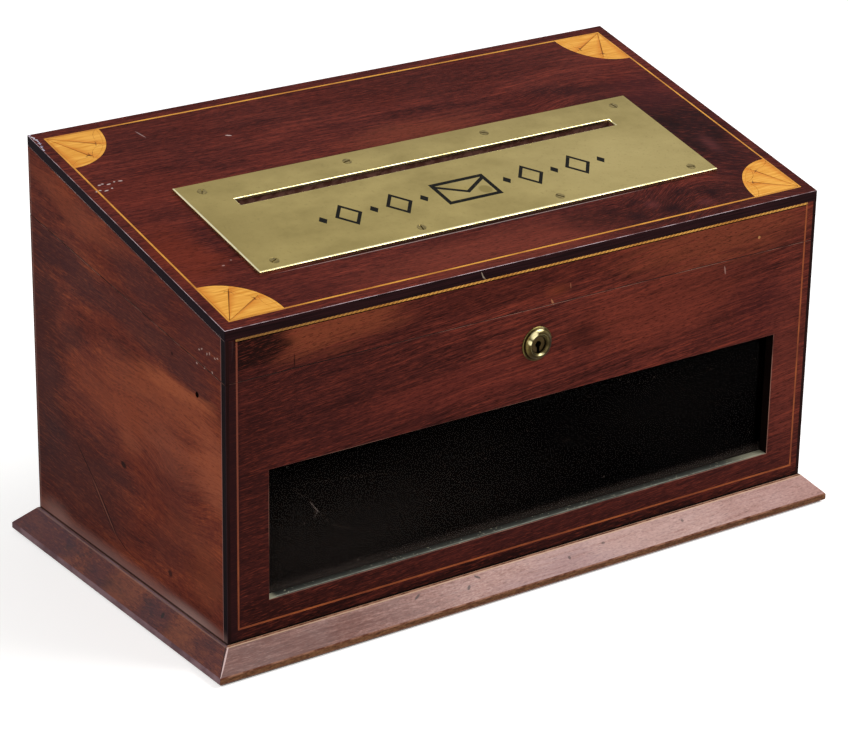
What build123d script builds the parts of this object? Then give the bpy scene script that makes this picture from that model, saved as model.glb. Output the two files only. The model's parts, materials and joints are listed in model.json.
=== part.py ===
from build123d import *
from math import atan2, copysign, cos, degrees, radians, sin, tan
import os

# Desk letter box: a mahogany case with a glazed front, a mitred plinth and a hinged sloping lid
# that carries a brass posting plate. The origin is the centre of the footprint on the table,
# +Z is up, the glazed front faces -Y, and the lid hinges at the back.

# ---------------------------------------------------------------- driving dimensions, mm
body_width = 360.0
body_depth = 185.0
wall_thickness = 11.0
# heights above the plinth, and the lid's depths below them, each at the outer face
body_front_height = 161.4
body_back_height = 203.5
lid_front_depth = 26.9
lid_back_depth = 41.5
parting_gap = 0.2

# plinth moulding, base board and the cloth under them
plinth_height = 15.0
plinth_overhang = 11.0
plinth_edge_height = 4.8
plinth_top_flat = 0.8
plinth_round = 1.2
baize_thickness = 1.0
baize_inset = 2.0
base_thickness = 12.0
base_screw_inset = 40.0
base_screw_length = 22.0
base_screw_head = 3.4
base_screw_shank = 1.7

# window in the front board
window_side_margin = 23.8
window_rise = 17.9
window_head_drop = 48.5
window_reveal = 5.6
rebate_width = 5.0
glass_thickness = 2.0
glass_clearance = 0.5

# lines and strips let into the faces
string_width = 1.0
string_depth = 1.0
string_margin = 5.9
front_string_rise = 6.3
rope_width = 1.6
corner_strip_width = 2.1
corner_strip_depth = 0.8

# lid panel, its veneer and its dark edging
top_veneer_thickness = 0.7
lid_panel_thickness = 4.6
edging_thickness = 1.0

# quarter fans at the corners of the top
fan_radius = 29.7
fan_blades = 3
blade_tip_radius = 27.6
blade_dip_radius = 24.2
fan_joint = 0.3

# brass posting plate, placed by its distance up the slope from the front arris
plate_width = 280.0
plate_depth = 81.5
plate_thickness = 1.5
plate_bevel = 0.25
plate_centre_x = 0.8
plate_centre_s = 76.35
slot_length = 232.0
slot_width = 6.2
slot_centre_s = 95.1
slot_wood_margin = 0.9
plate_screw_columns = 4
plate_screw_pitch = 85.1
plate_screw_rows_s = (42.2, 109.6)
plate_screw_head = 2.5
plate_screw_shank = 1.05
plate_screw_length = 6.0

# engraved ornament, filled with black wax
ornament_centre_s = 65.0
ornament_height = 20.0
ornament_stroke = 2.4
ornament_depth = 0.4
envelope_width = 33.0
lozenge_width = 16.0
bead_width = 5.0
bead_height = 6.6
marks_each_side = 5
mark_pitch = 15.0
first_mark_x = 25.5

# lock on the inside of the front board
lock_drop = 18.9
lock_plate_width = 56.0
lock_plate_drop = 14.0
lock_plate_thickness = 1.6
selvedge_depth = 8.5
lock_cap_width = 46.0
lock_cap_depth = 5.9
lock_cap_drop = 11.0
lock_cap_wall = 0.8
mortise_clearance = 0.15
key_pin_radius = 0.8
key_pin_setback = 1.2
keyhole_radius = 1.75
keyhole_slot_width = 1.7
keyhole_slot_drop = 4.6
lock_screw_inset = 2.5
lock_screw_rise = 6.0
lock_screw_head = 1.8
lock_screw_shank = 0.8
lock_screw_length = 7.0

# turned brass bezel round the keyhole
bezel_radius = 9.0
bezel_flange = 0.7
bezel_flange_bevel = 0.35
bezel_shoulder_radius = 8.1
bezel_crown_radius = 7.2
bezel_crown_height = 2.3
bezel_bulge = 0.3
bezel_lip_radius = 6.3
bezel_lip_inner_radius = 5.6
bezel_height = 2.9
bezel_ring_radius = 4.9
bezel_ring_height = 1.8
bezel_floor_radius = 4.3
bezel_floor_height = 1.2
bezel_spigot_radius = 5.5
bezel_clearance = 0.05

# link plate on the lid, whose two staples drop into the lock
link_plate_length = 46.0
link_plate_depth = 8.0
link_plate_thickness = 1.5
staple_spacing = 24.0
staple_thickness = 2.0
staple_width = 3.6
staple_drop = 7.6
staple_eye_drop = 4.6
staple_eye_width = 2.0
staple_eye_height = 3.0
staple_set_forward = 4.7
staple_clearance = 0.3
link_screw_inset = 3.5
link_screw_head = 2.0
link_screw_shank = 0.9
link_screw_length = 8.0

# bolt, which slides sideways through the staples
bolt_travel = 5.0
bolt_thickness = 2.0
bolt_bar_height = 5.8
bolt_above_key = 4.6
bolt_tail = 4.6
talon_width = 6.0
talon_height = 2.0
talon_centre_x = -2.5
finger_thickness = 1.2
finger_height = 1.8
finger_length = 4.6
finger_gap = 1.0
post_width = 2.4
stump_radius = 0.7
stump_clearance = 0.1
stump_below_top = 1.8
stump_xs = (-14.0, 5.5)
stump_length = 4.2
spring_thickness = 0.4
spring_width = 1.2
spring_reach = 9.0
spring_bow_setback = 1.8
spring_floor_clearance = 0.2

# pair of brass butt hinges at the back
hinge_end_inset = 70.0
hinge_length = 40.0
hinge_leaf_depth = 8.5
hinge_leaf_thickness = 1.5
knuckle_count = 5
knuckle_radius = 2.4
knuckle_gap = 0.15
knuckle_clearance = 0.2
hinge_pin_radius = 1.1
hinge_pin_clearance = 0.05
hinge_screw_pitch = 13.0
hinge_screw_inset = 5.0
hinge_screw_head = 1.9
hinge_screw_shank = 0.9
hinge_screw_length = 9.0

# all screws, and the way each one's slot points, in degrees
screw_clearance = 0.05
screw_slot_width = 0.7
screw_slot_depth = 0.5
base_screw_turns = (15, 70, 40, 120, 5, 95, 150, 55)
plate_screw_turns = ((25, 80, 130, 160), (60, 10, 145, 100))
lock_screw_turns = (35, 110, 60, 5)
link_screw_turns = (30, 75)
hinge_screw_turns = (20, 95, 50)
# stock left past a face before a saw cut trims it
waste = 3.0

# ---------------------------------------------------------------- frame of the case
half_width = body_width / 2
half_depth = body_depth / 2
front_y = -half_depth
back_y = half_depth
inner_front_y = front_y + wall_thickness
base_underside = baize_thickness
base_top = base_underside + base_thickness
front_top = plinth_height + body_front_height
back_top = plinth_height + body_back_height
parting_front = front_top - lid_front_depth
parting_back = back_top - lid_back_depth
top_angle = atan2(body_back_height - body_front_height, body_depth)
parting_angle = atan2(parting_back - parting_front, body_depth)
slope_length = body_depth / cos(top_angle)
ceiling = back_top + waste

# faces of the box, each with local x along it, local y up and z_dir out of it
front_face = Plane(origin=(0, front_y, 0), x_dir=(1, 0, 0), z_dir=(0, -1, 0))
back_face = Plane(origin=(0, back_y, 0), x_dir=(-1, 0, 0), z_dir=(0, 1, 0))
left_face = Plane(origin=(-half_width, 0, 0), x_dir=(0, -1, 0), z_dir=(-1, 0, 0))
right_face = Plane(origin=(half_width, 0, 0), x_dir=(0, 1, 0), z_dir=(1, 0, 0))
sides = {
    "front": (front_face, half_width),
    "back": (back_face, half_width),
    "left": (left_face, half_depth),
    "right": (right_face, half_depth),
}

# sloping planes, each with local x along X and local y up the slope from the front face
slope_normal = (0, -sin(top_angle), cos(top_angle))
parting_normal = (0, -sin(parting_angle), cos(parting_angle))
top_plane = Plane(origin=(0, front_y, front_top), x_dir=(1, 0, 0), z_dir=slope_normal)
ground_plane = top_plane.offset(-top_veneer_thickness)
ceiling_plane = ground_plane.offset(-lid_panel_thickness)
parting_plane = Plane(origin=(0, front_y, parting_front), x_dir=(1, 0, 0), z_dir=parting_normal)
body_top = parting_plane.offset(-parting_gap / 2)
lid_bottom = parting_plane.offset(parting_gap / 2)
plate_top = top_plane.offset(plate_thickness)
floor_plane = Plane.XY.offset(base_top)

# height of the lid panel's lower arris on the front face
panel_front_z = front_top - (top_veneer_thickness + lid_panel_thickness) / cos(top_angle)

os.makedirs("parts", exist_ok=True)


def save(piece, node):
    """Label a finished sub-part and write it under its node's name."""
    piece.part.label = node
    export_step(piece.part, f"parts/{node}.step")


def mitred_length(face, half_length, profile):
    """Length of stock along one face of the box, mitred at both corners.

    The profile's points are (distance out from the face, height above the table)."""
    reach = half_length + max(out for out, height in profile) + waste
    with BuildPart() as length:
        with BuildSketch(Plane(origin=face.origin, x_dir=face.z_dir, z_dir=-face.x_dir)):
            with BuildLine():
                Polyline(*profile, close=True)
            make_face()
        extrude(amount=reach, both=True)
        for end in (face.x_dir, -face.x_dir):
            corner = face.origin + end * half_length
            split(bisect_by=Plane(origin=corner, x_dir=(0, 0, 1), z_dir=end - face.z_dir), keep=Keep.BOTTOM)
    return length.part


def plan_block(x_range, y_range, lower, upper):
    """Block with upright sides over a rectangle in plan, trimmed to two planes."""
    with BuildPart() as block:
        with BuildSketch(Plane.XY):
            with Locations((sum(x_range) / 2, sum(y_range) / 2)):
                Rectangle(x_range[1] - x_range[0], y_range[1] - y_range[0])
        extrude(amount=ceiling)
        split(bisect_by=lower, keep=Keep.TOP)
        split(bisect_by=upper, keep=Keep.BOTTOM)
    return block.part


def frame_strips(width, height, strip):
    """Outlines of the four mitred strips of a rectangular frame, by side."""
    outer = [(x * width / 2, y * height / 2) for x, y in ((-1, -1), (1, -1), (1, 1), (-1, 1))]
    inner = [(x - copysign(strip, x), y - copysign(strip, y)) for x, y in outer]
    names = ("bottom", "right", "top", "left")
    return {
        name: (outer[i], outer[(i + 1) % 4], inner[(i + 1) % 4], inner[i])
        for i, name in enumerate(names)
    }


def screw(head, shank, length, grow=0.0):
    """Countersunk screw down -Z, its face at Z = 0. Grown, it is the hole that the screw fills."""
    head_depth = head - shank
    with BuildPart() as turned:
        with BuildSketch(Plane.XZ):
            with BuildLine():
                Polyline(
                    (0, 0),
                    (head + grow, 0),
                    (shank + grow, -head_depth),
                    (shank + grow, shank - length),
                    (0, -length - grow),
                    close=True,
                )
            make_face()
        revolve(axis=Axis.Z)
        if not grow:
            Box(3 * head, screw_slot_width, 2 * screw_slot_depth, mode=Mode.SUBTRACT)
    return turned.part


def on_plane(plane, x, y, turn=0.0, flip=False):
    """Location at a point of a plane, turned about its normal, facing out of it or, flipped, into it."""
    return plane.location * Location((x, y, 0), (180 if flip else 0, 0, turn))


# ---------------------------------------------------------------- plinth, base and cloth
plinth_edge_run = plinth_overhang - plinth_top_flat
plinth_profile = (
    (0, base_underside),
    (plinth_overhang, base_underside),
    (plinth_overhang, plinth_edge_height),
    (plinth_overhang - plinth_edge_run, plinth_height),
    (0, plinth_height),
)
for side, (face, half_length) in sides.items():
    with BuildPart() as plinth_length:
        add(mitred_length(face, half_length, plinth_profile))
        long_edges = plinth_length.edges().filter_by(Axis(face.origin, face.x_dir))
        lower_edges = long_edges.sort_by(Axis.Z)[:2]
        fillet(lower_edges.sort_by(Axis(face.origin, face.z_dir))[-1], radius=plinth_round)
    save(plinth_length, f"plinth_{side}")

with BuildPart() as base_baize:
    with BuildSketch(Plane.XY):
        cloth_margin = plinth_overhang - baize_inset
        Rectangle(body_width + 2 * cloth_margin, body_depth + 2 * cloth_margin)
    extrude(amount=baize_thickness)
save(base_baize, "base_baize")

# screws up through the base board into the middle of each wall
wall_middle_x = half_width - wall_thickness / 2
wall_middle_y = half_depth - wall_thickness / 2
screw_x = half_width - base_screw_inset
base_screw_places = [(x, y) for y in (-wall_middle_y, wall_middle_y) for x in (-screw_x, 0, screw_x)]
base_screw_places += [(-wall_middle_x, 0), (wall_middle_x, 0)]
base_screw_spots = [
    on_plane(Plane.XY.offset(base_underside), x, y, turn, flip=True)
    for (x, y), turn in zip(base_screw_places, base_screw_turns)
]
base_screw_hole = screw(base_screw_head, base_screw_shank, base_screw_length, screw_clearance)

with BuildPart() as base_screws:
    with Locations(*base_screw_spots):
        add(screw(base_screw_head, base_screw_shank, base_screw_length))
save(base_screws, "base_screws")

with BuildPart() as base_board:
    with BuildSketch(Plane.XY.offset(base_underside)):
        Rectangle(body_width, body_depth)
    extrude(amount=base_thickness)
    with Locations(*base_screw_spots):
        add(base_screw_hole, mode=Mode.SUBTRACT)
save(base_board, "base_board")

# ---------------------------------------------------------------- strips and lines on the front
# each corner strip is mitred against the side board, so only the front shows it
with BuildPart() as corner_stock:
    with BuildSketch(Plane.XY):
        with BuildLine():
            Polyline(
                (half_width - corner_strip_width, front_y),
                (half_width, front_y),
                (half_width - corner_strip_depth, front_y + corner_strip_depth),
                (half_width - corner_strip_width, front_y + corner_strip_depth),
                close=True,
            )
        make_face()
        mirror(about=Plane.YZ)
    extrude(amount=ceiling)

with BuildPart() as body_corner_strips:
    add(corner_stock.part)
    split(bisect_by=floor_plane, keep=Keep.TOP)
    split(bisect_by=body_top, keep=Keep.BOTTOM)
save(body_corner_strips, "body_corner_strips")

with BuildPart() as lid_corner_strips:
    add(corner_stock.part)
    split(bisect_by=lid_bottom, keep=Keep.TOP)
    split(bisect_by=ceiling_plane, keep=Keep.BOTTOM)
save(lid_corner_strips, "lid_corner_strips")

# the front's line is one frame, sawn through with the case, and its top is the thicker rope line
string_left = half_width - string_margin
string_bottom = plinth_height + front_string_rise
rope_bottom = panel_front_z - rope_width
front_strips = frame_strips(2 * string_left, 2 * (rope_bottom - string_bottom), string_width)
with BuildPart() as front_line_stock:
    for side in ("bottom", "left", "right"):
        with BuildSketch(Plane(origin=(0, front_y, rope_bottom), x_dir=(1, 0, 0), z_dir=(0, -1, 0))):
            with BuildLine():
                Polyline(*front_strips[side], close=True)
            make_face()
        extrude(amount=-string_depth)

with BuildPart() as body_stringing:
    add(front_line_stock.part)
    split(bisect_by=body_top, keep=Keep.BOTTOM)
save(body_stringing, "body_stringing")

with BuildPart() as lid_stringing:
    add(front_line_stock.part)
    split(bisect_by=lid_bottom, keep=Keep.TOP)
    split(bisect_by=Plane.XY.offset(rope_bottom), keep=Keep.BOTTOM)
save(lid_stringing, "lid_stringing")

with BuildPart() as rope_stringing:
    with BuildSketch(front_face):
        with Locations((0, rope_bottom + rope_width / 2)):
            Rectangle(2 * string_left, rope_width)
    extrude(amount=-string_depth)
    split(bisect_by=ceiling_plane, keep=Keep.BOTTOM)
save(rope_stringing, "rope_stringing")

# ---------------------------------------------------------------- places of the lock's pieces
lock_z = parting_front - lock_drop
lock_half = lock_plate_width / 2
lock_plate_front_y = inner_front_y - lock_plate_thickness
lock_cap_front_y = lock_plate_front_y - lock_cap_depth
lock_wood = lock_cap_front_y - front_y
selvedge_front_y = inner_front_y - selvedge_depth
selvedge_underside = body_top.offset(-lock_plate_thickness)
lock_plate_bottom = lock_z - lock_plate_drop
lock_cap_bottom = lock_z - lock_cap_drop
keyhole_plane = Plane(origin=(0, front_y, lock_z), x_dir=(1, 0, 0), z_dir=(0, -1, 0))
lock_screw_x = lock_half - lock_screw_inset
selvedge_middle_s = (selvedge_front_y + selvedge_depth / 2 - front_y) / cos(parting_angle)
inner_face = Plane(origin=(0, inner_front_y, 0), x_dir=(-1, 0, 0), z_dir=(0, 1, 0))
lock_screw_places = [
    (plane, x, y)
    for plane, y in ((inner_face, lock_plate_bottom + lock_screw_rise), (body_top, selvedge_middle_s))
    for x in (-lock_screw_x, lock_screw_x)
]
lock_screw_spots = [on_plane(*place, turn) for place, turn in zip(lock_screw_places, lock_screw_turns)]
lock_screw_hole = screw(lock_screw_head, lock_screw_shank, lock_screw_length, screw_clearance)

# the keyhole, a cutter through the bezel and the lock's cap
with BuildPart() as keyhole:
    with BuildSketch(keyhole_plane.offset(bezel_height + waste)):
        Circle(keyhole_radius)
        with Locations((0, -keyhole_slot_drop / 2)):
            Rectangle(keyhole_slot_width, keyhole_slot_drop)
    extrude(amount=-(bezel_height + waste + wall_thickness - lock_plate_thickness))

# ---------------------------------------------------------------- places of the hinges
hinge_axis_y = back_y + knuckle_radius + knuckle_clearance
hinge_axis_z = parting_front + (hinge_axis_y - front_y) * tan(parting_angle)
hinge_xs = (hinge_end_inset - half_width, half_width - hinge_end_inset)
hinge_screw_s = (body_depth - hinge_screw_inset) / cos(parting_angle)
hinge_screw_offsets = (-hinge_screw_pitch, 0, hinge_screw_pitch)
body_hinge_screw_spots = [
    on_plane(body_top, x + offset, hinge_screw_s, turn)
    for x in hinge_xs
    for offset, turn in zip(hinge_screw_offsets, hinge_screw_turns)
]
lid_hinge_screw_spots = [
    on_plane(lid_bottom, x + offset, hinge_screw_s, turn, flip=True)
    for x in hinge_xs
    for offset, turn in zip(hinge_screw_offsets, hinge_screw_turns)
]
hinge_screw_hole = screw(hinge_screw_head, hinge_screw_shank, hinge_screw_length, screw_clearance)
leaf_front_y = back_y - hinge_leaf_depth


def leaf_recesses(lower, upper):
    """Housings of both leaves in the edge of the wood, open at the back face."""
    with BuildPart() as housings:
        for x in hinge_xs:
            x_range = (x - hinge_length / 2, x + hinge_length / 2)
            add(plan_block(x_range, (leaf_front_y, back_y + waste), lower, upper))
    return housings.part


# ---------------------------------------------------------------- walls of the case
window_width = body_width - 2 * window_side_margin
window_bottom = plinth_height + window_rise
window_height = parting_front - window_head_drop - window_bottom
window_middle_z = window_bottom + window_height / 2
wall_profile = (
    (-wall_thickness, base_top), (0, base_top), (0, ceiling), (-wall_thickness, ceiling),
)

with BuildPart() as front_board:
    add(mitred_length(front_face, half_width, wall_profile))
    split(bisect_by=body_top, keep=Keep.BOTTOM)
    with BuildSketch(front_face):
        with Locations((0, window_middle_z)):
            Rectangle(window_width, window_height)
    extrude(amount=-wall_thickness, mode=Mode.SUBTRACT)
    with BuildSketch(front_face.offset(-window_reveal)):
        with Locations((0, window_middle_z)):
            Rectangle(window_width + 2 * rebate_width, window_height + 2 * rebate_width)
    extrude(amount=window_reveal - wall_thickness, mode=Mode.SUBTRACT)
    # housings of the lock's plate, of its selvedge and of its cap
    plate_x = (-lock_half, lock_half)
    cap_half = lock_cap_width / 2 + mortise_clearance
    cap_floor = Plane.XY.offset(lock_cap_bottom - mortise_clearance)
    back_of_plate = (lock_plate_front_y, inner_front_y + waste)
    back_of_cap = (lock_cap_front_y, inner_front_y + waste)
    back_of_selvedge = (selvedge_front_y, inner_front_y + waste)
    over_top = body_top.offset(waste)
    add(plan_block(plate_x, back_of_plate, Plane.XY.offset(lock_plate_bottom), over_top), mode=Mode.SUBTRACT)
    add(plan_block((-cap_half, cap_half), back_of_cap, cap_floor, over_top), mode=Mode.SUBTRACT)
    add(plan_block(plate_x, back_of_selvedge, selvedge_underside, over_top), mode=Mode.SUBTRACT)
    with BuildSketch(keyhole_plane):
        Circle(bezel_spigot_radius + bezel_clearance)
    extrude(amount=-lock_wood - waste, mode=Mode.SUBTRACT)
    with Locations(*lock_screw_spots):
        add(lock_screw_hole, mode=Mode.SUBTRACT)
    with Locations(*base_screw_spots):
        add(base_screw_hole, mode=Mode.SUBTRACT)
    add(body_stringing.part, mode=Mode.SUBTRACT)
    add(body_corner_strips.part, mode=Mode.SUBTRACT)
save(front_board, "front_board")

with BuildPart() as back_board:
    add(mitred_length(back_face, half_width, wall_profile))
    split(bisect_by=body_top, keep=Keep.BOTTOM)
    add(leaf_recesses(body_top.offset(-hinge_leaf_thickness), body_top.offset(waste)), mode=Mode.SUBTRACT)
    with Locations(*body_hinge_screw_spots):
        add(hinge_screw_hole, mode=Mode.SUBTRACT)
    with Locations(*base_screw_spots):
        add(base_screw_hole, mode=Mode.SUBTRACT)
save(back_board, "back_board")

for side in ("left", "right"):
    with BuildPart() as side_board:
        add(mitred_length(*sides[side], wall_profile))
        split(bisect_by=body_top, keep=Keep.BOTTOM)
        with Locations(*base_screw_spots):
            add(base_screw_hole, mode=Mode.SUBTRACT)
    save(side_board, f"{side}_board")

# ---------------------------------------------------------------- glass and its beads
glass_width = window_width + 2 * (rebate_width - glass_clearance)
glass_height = window_height + 2 * (rebate_width - glass_clearance)
glass_plane = Plane(origin=(0, front_y + window_reveal, window_middle_z), x_dir=(1, 0, 0), z_dir=(0, -1, 0))

with BuildPart() as window_glass:
    with BuildSketch(glass_plane):
        Rectangle(glass_width, glass_height)
    extrude(amount=-glass_thickness)
save(window_glass, "window_glass")

bead_depth = wall_thickness - window_reveal - glass_thickness
bead_outlines = frame_strips(window_width + 2 * rebate_width, window_height + 2 * rebate_width, rebate_width)
for side, outline in bead_outlines.items():
    with BuildPart() as glazing_bead:
        with BuildSketch(glass_plane.offset(-glass_thickness)):
            with BuildLine():
                Polyline(*outline, close=True)
            make_face()
        extrude(amount=-bead_depth)
    save(glazing_bead, f"glazing_bead_{side}")

# ---------------------------------------------------------------- bezel and lock
with BuildPart() as key_bezel:
    with BuildSketch(Plane(origin=(0, front_y, lock_z), x_dir=(1, 0, 0), z_dir=(0, 0, -1))):
        with BuildLine():
            Polyline(
                (0, bezel_floor_height),
                (0, -lock_wood),
                (bezel_spigot_radius, -lock_wood),
                (bezel_spigot_radius, 0),
                (bezel_radius, 0),
                (bezel_radius, bezel_flange - bezel_flange_bevel),
                (bezel_radius - bezel_flange_bevel, bezel_flange),
                (bezel_shoulder_radius, bezel_flange),
            )
            shoulder = (bezel_shoulder_radius, bezel_flange)
            crown = (bezel_crown_radius, bezel_crown_height)
            SagittaArc(shoulder, crown, -bezel_bulge)
            Polyline(
                crown,
                (bezel_lip_radius, bezel_height),
                (bezel_lip_inner_radius, bezel_height),
                (bezel_ring_radius, bezel_ring_height),
                (bezel_floor_radius, bezel_ring_height),
                (bezel_floor_radius, bezel_floor_height),
                (0, bezel_floor_height),
            )
        make_face()
    revolve(axis=Axis((0, front_y, lock_z), (0, -1, 0)))
    add(keyhole.part, mode=Mode.SUBTRACT)
save(key_bezel, "key_bezel")

staple_xs = (-staple_spacing / 2, staple_spacing / 2)
staple_top_y = inner_front_y - staple_set_forward
staple_top_z = parting_front + (staple_top_y - front_y) * tan(parting_angle)
eye_y = staple_top_y + staple_eye_drop * sin(parting_angle)
eye_z = staple_top_z - staple_eye_drop * cos(parting_angle)
bolt_bottom = lock_z + bolt_above_key
bolt_bar_top = bolt_bottom + bolt_bar_height
stump_z = bolt_bar_top - stump_below_top

with BuildPart() as lock_plate:
    plate_y = (lock_plate_front_y, inner_front_y)
    add(plan_block(plate_x, plate_y, Plane.XY.offset(lock_plate_bottom), body_top))
    add(plan_block(plate_x, (selvedge_front_y, inner_front_y), selvedge_underside, body_top))
    slot_half_x = staple_thickness / 2 + staple_clearance
    slot_half_y = staple_width / 2 + staple_clearance
    for x in staple_xs:
        slot_x = (x - slot_half_x, x + slot_half_x)
        slot_y = (staple_top_y - slot_half_y, staple_top_y + slot_half_y)
        add(plan_block(slot_x, slot_y, selvedge_underside.offset(-waste), over_top), mode=Mode.SUBTRACT)
    with BuildSketch(inner_face.offset(-lock_plate_thickness)):
        with Locations(*[(-x, stump_z) for x in stump_xs]):
            Circle(stump_radius)
    extrude(amount=-stump_length)
    with BuildSketch(inner_face):
        with Locations((0, lock_z)):
            Circle(key_pin_radius)
    extrude(amount=-lock_plate_thickness, mode=Mode.SUBTRACT)
    with Locations(*lock_screw_spots):
        add(lock_screw_hole, mode=Mode.SUBTRACT)
save(lock_plate, "lock_plate")

with BuildPart() as lock_cap:
    cap_y = (lock_cap_front_y, lock_plate_front_y)
    cap_x = (-lock_cap_width / 2, lock_cap_width / 2)
    add(plan_block(cap_x, cap_y, Plane.XY.offset(lock_cap_bottom), selvedge_underside))
    hollow_x = (cap_x[0] + lock_cap_wall, cap_x[1] - lock_cap_wall)
    hollow_y = (lock_cap_front_y + lock_cap_wall, lock_plate_front_y + waste)
    hollow_floor = Plane.XY.offset(lock_cap_bottom + lock_cap_wall)
    add(plan_block(hollow_x, hollow_y, hollow_floor, over_top), mode=Mode.SUBTRACT)
    add(keyhole.part, mode=Mode.SUBTRACT)
save(lock_cap, "lock_cap")

with BuildPart() as key_pin:
    with BuildSketch(inner_face):
        with Locations((0, lock_z)):
            Circle(key_pin_radius)
    extrude(amount=-(wall_thickness - key_pin_setback))
save(key_pin, "key_pin")

with BuildPart() as lock_screws:
    with Locations(*lock_screw_spots):
        add(screw(lock_screw_head, lock_screw_shank, lock_screw_length))
save(lock_screws, "lock_screws")

# the bolt stands clear of the staples at rest, and its two fingers pass through their eyes when shot
bolt_plane = Plane(origin=(0, eye_y, 0), x_dir=(1, 0, 0), z_dir=(0, -1, 0))
post_offset = staple_thickness / 2 + finger_gap + finger_length + post_width
post_xs = [x - post_offset for x in staple_xs]
finger_bottom = eye_z - finger_height / 2
finger_top = eye_z + finger_height / 2
bar_left = post_xs[0]
bar_right = post_xs[1] + post_width + bolt_tail
with BuildPart() as lock_bolt:
    with BuildSketch(bolt_plane):
        with Locations(((bar_left + bar_right) / 2, (bolt_bottom + bolt_bar_top) / 2)):
            Rectangle(bar_right - bar_left, bolt_bar_height)
        for x in post_xs:
            with Locations((x + post_width / 2, (bolt_bar_top + finger_top) / 2)):
                Rectangle(post_width, finger_top - bolt_bar_top)
        with Locations((talon_centre_x, bolt_bottom + talon_height / 2)):
            Rectangle(talon_width, talon_height, mode=Mode.SUBTRACT)
        guide_height = 2 * (stump_radius + stump_clearance)
        for x in stump_xs:
            with Locations((x - bolt_travel / 2, stump_z)):
                SlotOverall(bolt_travel + guide_height, guide_height, mode=Mode.SUBTRACT)
    extrude(amount=bolt_thickness / 2, both=True)
    with BuildSketch(bolt_plane):
        for x in post_xs:
            with Locations((x + (post_width + finger_length) / 2, (finger_bottom + finger_top) / 2)):
                Rectangle(post_width + finger_length, finger_height)
    extrude(amount=finger_thickness / 2, both=True)
save(lock_bolt, "lock_bolt")

# bowed spring under the bolt's end, which presses on the floor of the cap and holds the bolt still
spring_foot_z = lock_cap_bottom + lock_cap_wall + spring_floor_clearance + spring_thickness / 2
spring_top = (bar_left + spring_thickness, bolt_bottom)
spring_foot = (bar_left + spring_reach, spring_foot_z)
spring_bow = (bar_left + spring_bow_setback, (bolt_bottom + spring_foot_z) / 2)
with BuildPart() as bolt_spring:
    with BuildSketch(bolt_plane):
        with BuildLine():
            ThreePointArc(spring_top, spring_bow, spring_foot)
        trace(line_width=spring_thickness)
    extrude(amount=spring_width / 2, both=True)
    split(bisect_by=Plane.XY.offset(bolt_bottom), keep=Keep.BOTTOM)
save(bolt_spring, "bolt_spring")

# ---------------------------------------------------------------- lid: rims, panel and edging
link_plate_y = (staple_top_y - link_plate_depth / 2, staple_top_y + link_plate_depth / 2)
link_plate_x = (-link_plate_length / 2, link_plate_length / 2)
link_screw_x = link_plate_length / 2 - link_screw_inset
link_screw_s = (staple_top_y - front_y) / cos(parting_angle)
link_screw_spots = [
    on_plane(lid_bottom, x, link_screw_s, turn, flip=True)
    for x, turn in zip((-link_screw_x, link_screw_x), link_screw_turns)
]
link_screw_hole = screw(link_screw_head, link_screw_shank, link_screw_length, screw_clearance)

with BuildPart() as lid_front_rim:
    add(mitred_length(front_face, half_width, wall_profile))
    split(bisect_by=lid_bottom, keep=Keep.TOP)
    split(bisect_by=ceiling_plane, keep=Keep.BOTTOM)
    link_ceiling = lid_bottom.offset(link_plate_thickness)
    add(plan_block(link_plate_x, link_plate_y, lid_bottom.offset(-waste), link_ceiling), mode=Mode.SUBTRACT)
    with Locations(*link_screw_spots):
        add(link_screw_hole, mode=Mode.SUBTRACT)
    add(lid_stringing.part, mode=Mode.SUBTRACT)
    add(rope_stringing.part, mode=Mode.SUBTRACT)
    add(lid_corner_strips.part, mode=Mode.SUBTRACT)
save(lid_front_rim, "lid_front_rim")

with BuildPart() as lid_back_rim:
    add(mitred_length(back_face, half_width, wall_profile))
    split(bisect_by=lid_bottom, keep=Keep.TOP)
    split(bisect_by=ceiling_plane, keep=Keep.BOTTOM)
    leaf_ceiling = lid_bottom.offset(hinge_leaf_thickness)
    add(leaf_recesses(lid_bottom.offset(-waste), leaf_ceiling), mode=Mode.SUBTRACT)
    with Locations(*lid_hinge_screw_spots):
        add(hinge_screw_hole, mode=Mode.SUBTRACT)
save(lid_back_rim, "lid_back_rim")

for side in ("left", "right"):
    with BuildPart() as lid_side_rim:
        add(mitred_length(*sides[side], wall_profile))
        split(bisect_by=lid_bottom, keep=Keep.TOP)
        split(bisect_by=ceiling_plane, keep=Keep.BOTTOM)
    save(lid_side_rim, f"lid_{side}_rim")

edging_profile = (
    (-edging_thickness, base_top), (0, base_top), (0, ceiling), (-edging_thickness, ceiling),
)
for side, (face, half_length) in sides.items():
    with BuildPart() as lid_edging:
        add(mitred_length(face, half_length, edging_profile))
        split(bisect_by=ceiling_plane, keep=Keep.TOP)
        split(bisect_by=ground_plane, keep=Keep.BOTTOM)
    save(lid_edging, f"lid_edging_{side}")

# screws of the posting plate, and the slots that post a letter through plate and panel
screw_columns = [
    plate_centre_x + (column - (plate_screw_columns - 1) / 2) * plate_screw_pitch
    for column in range(plate_screw_columns)
]
plate_screw_spots = [
    on_plane(plate_top, x, s, turn)
    for s, turns in zip(plate_screw_rows_s, plate_screw_turns)
    for x, turn in zip(screw_columns, turns)
]
plate_screw_hole = screw(plate_screw_head, plate_screw_shank, plate_screw_length, screw_clearance)
panel_x = (-half_width + edging_thickness, half_width - edging_thickness)
panel_y = (front_y + edging_thickness, back_y - edging_thickness)


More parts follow.
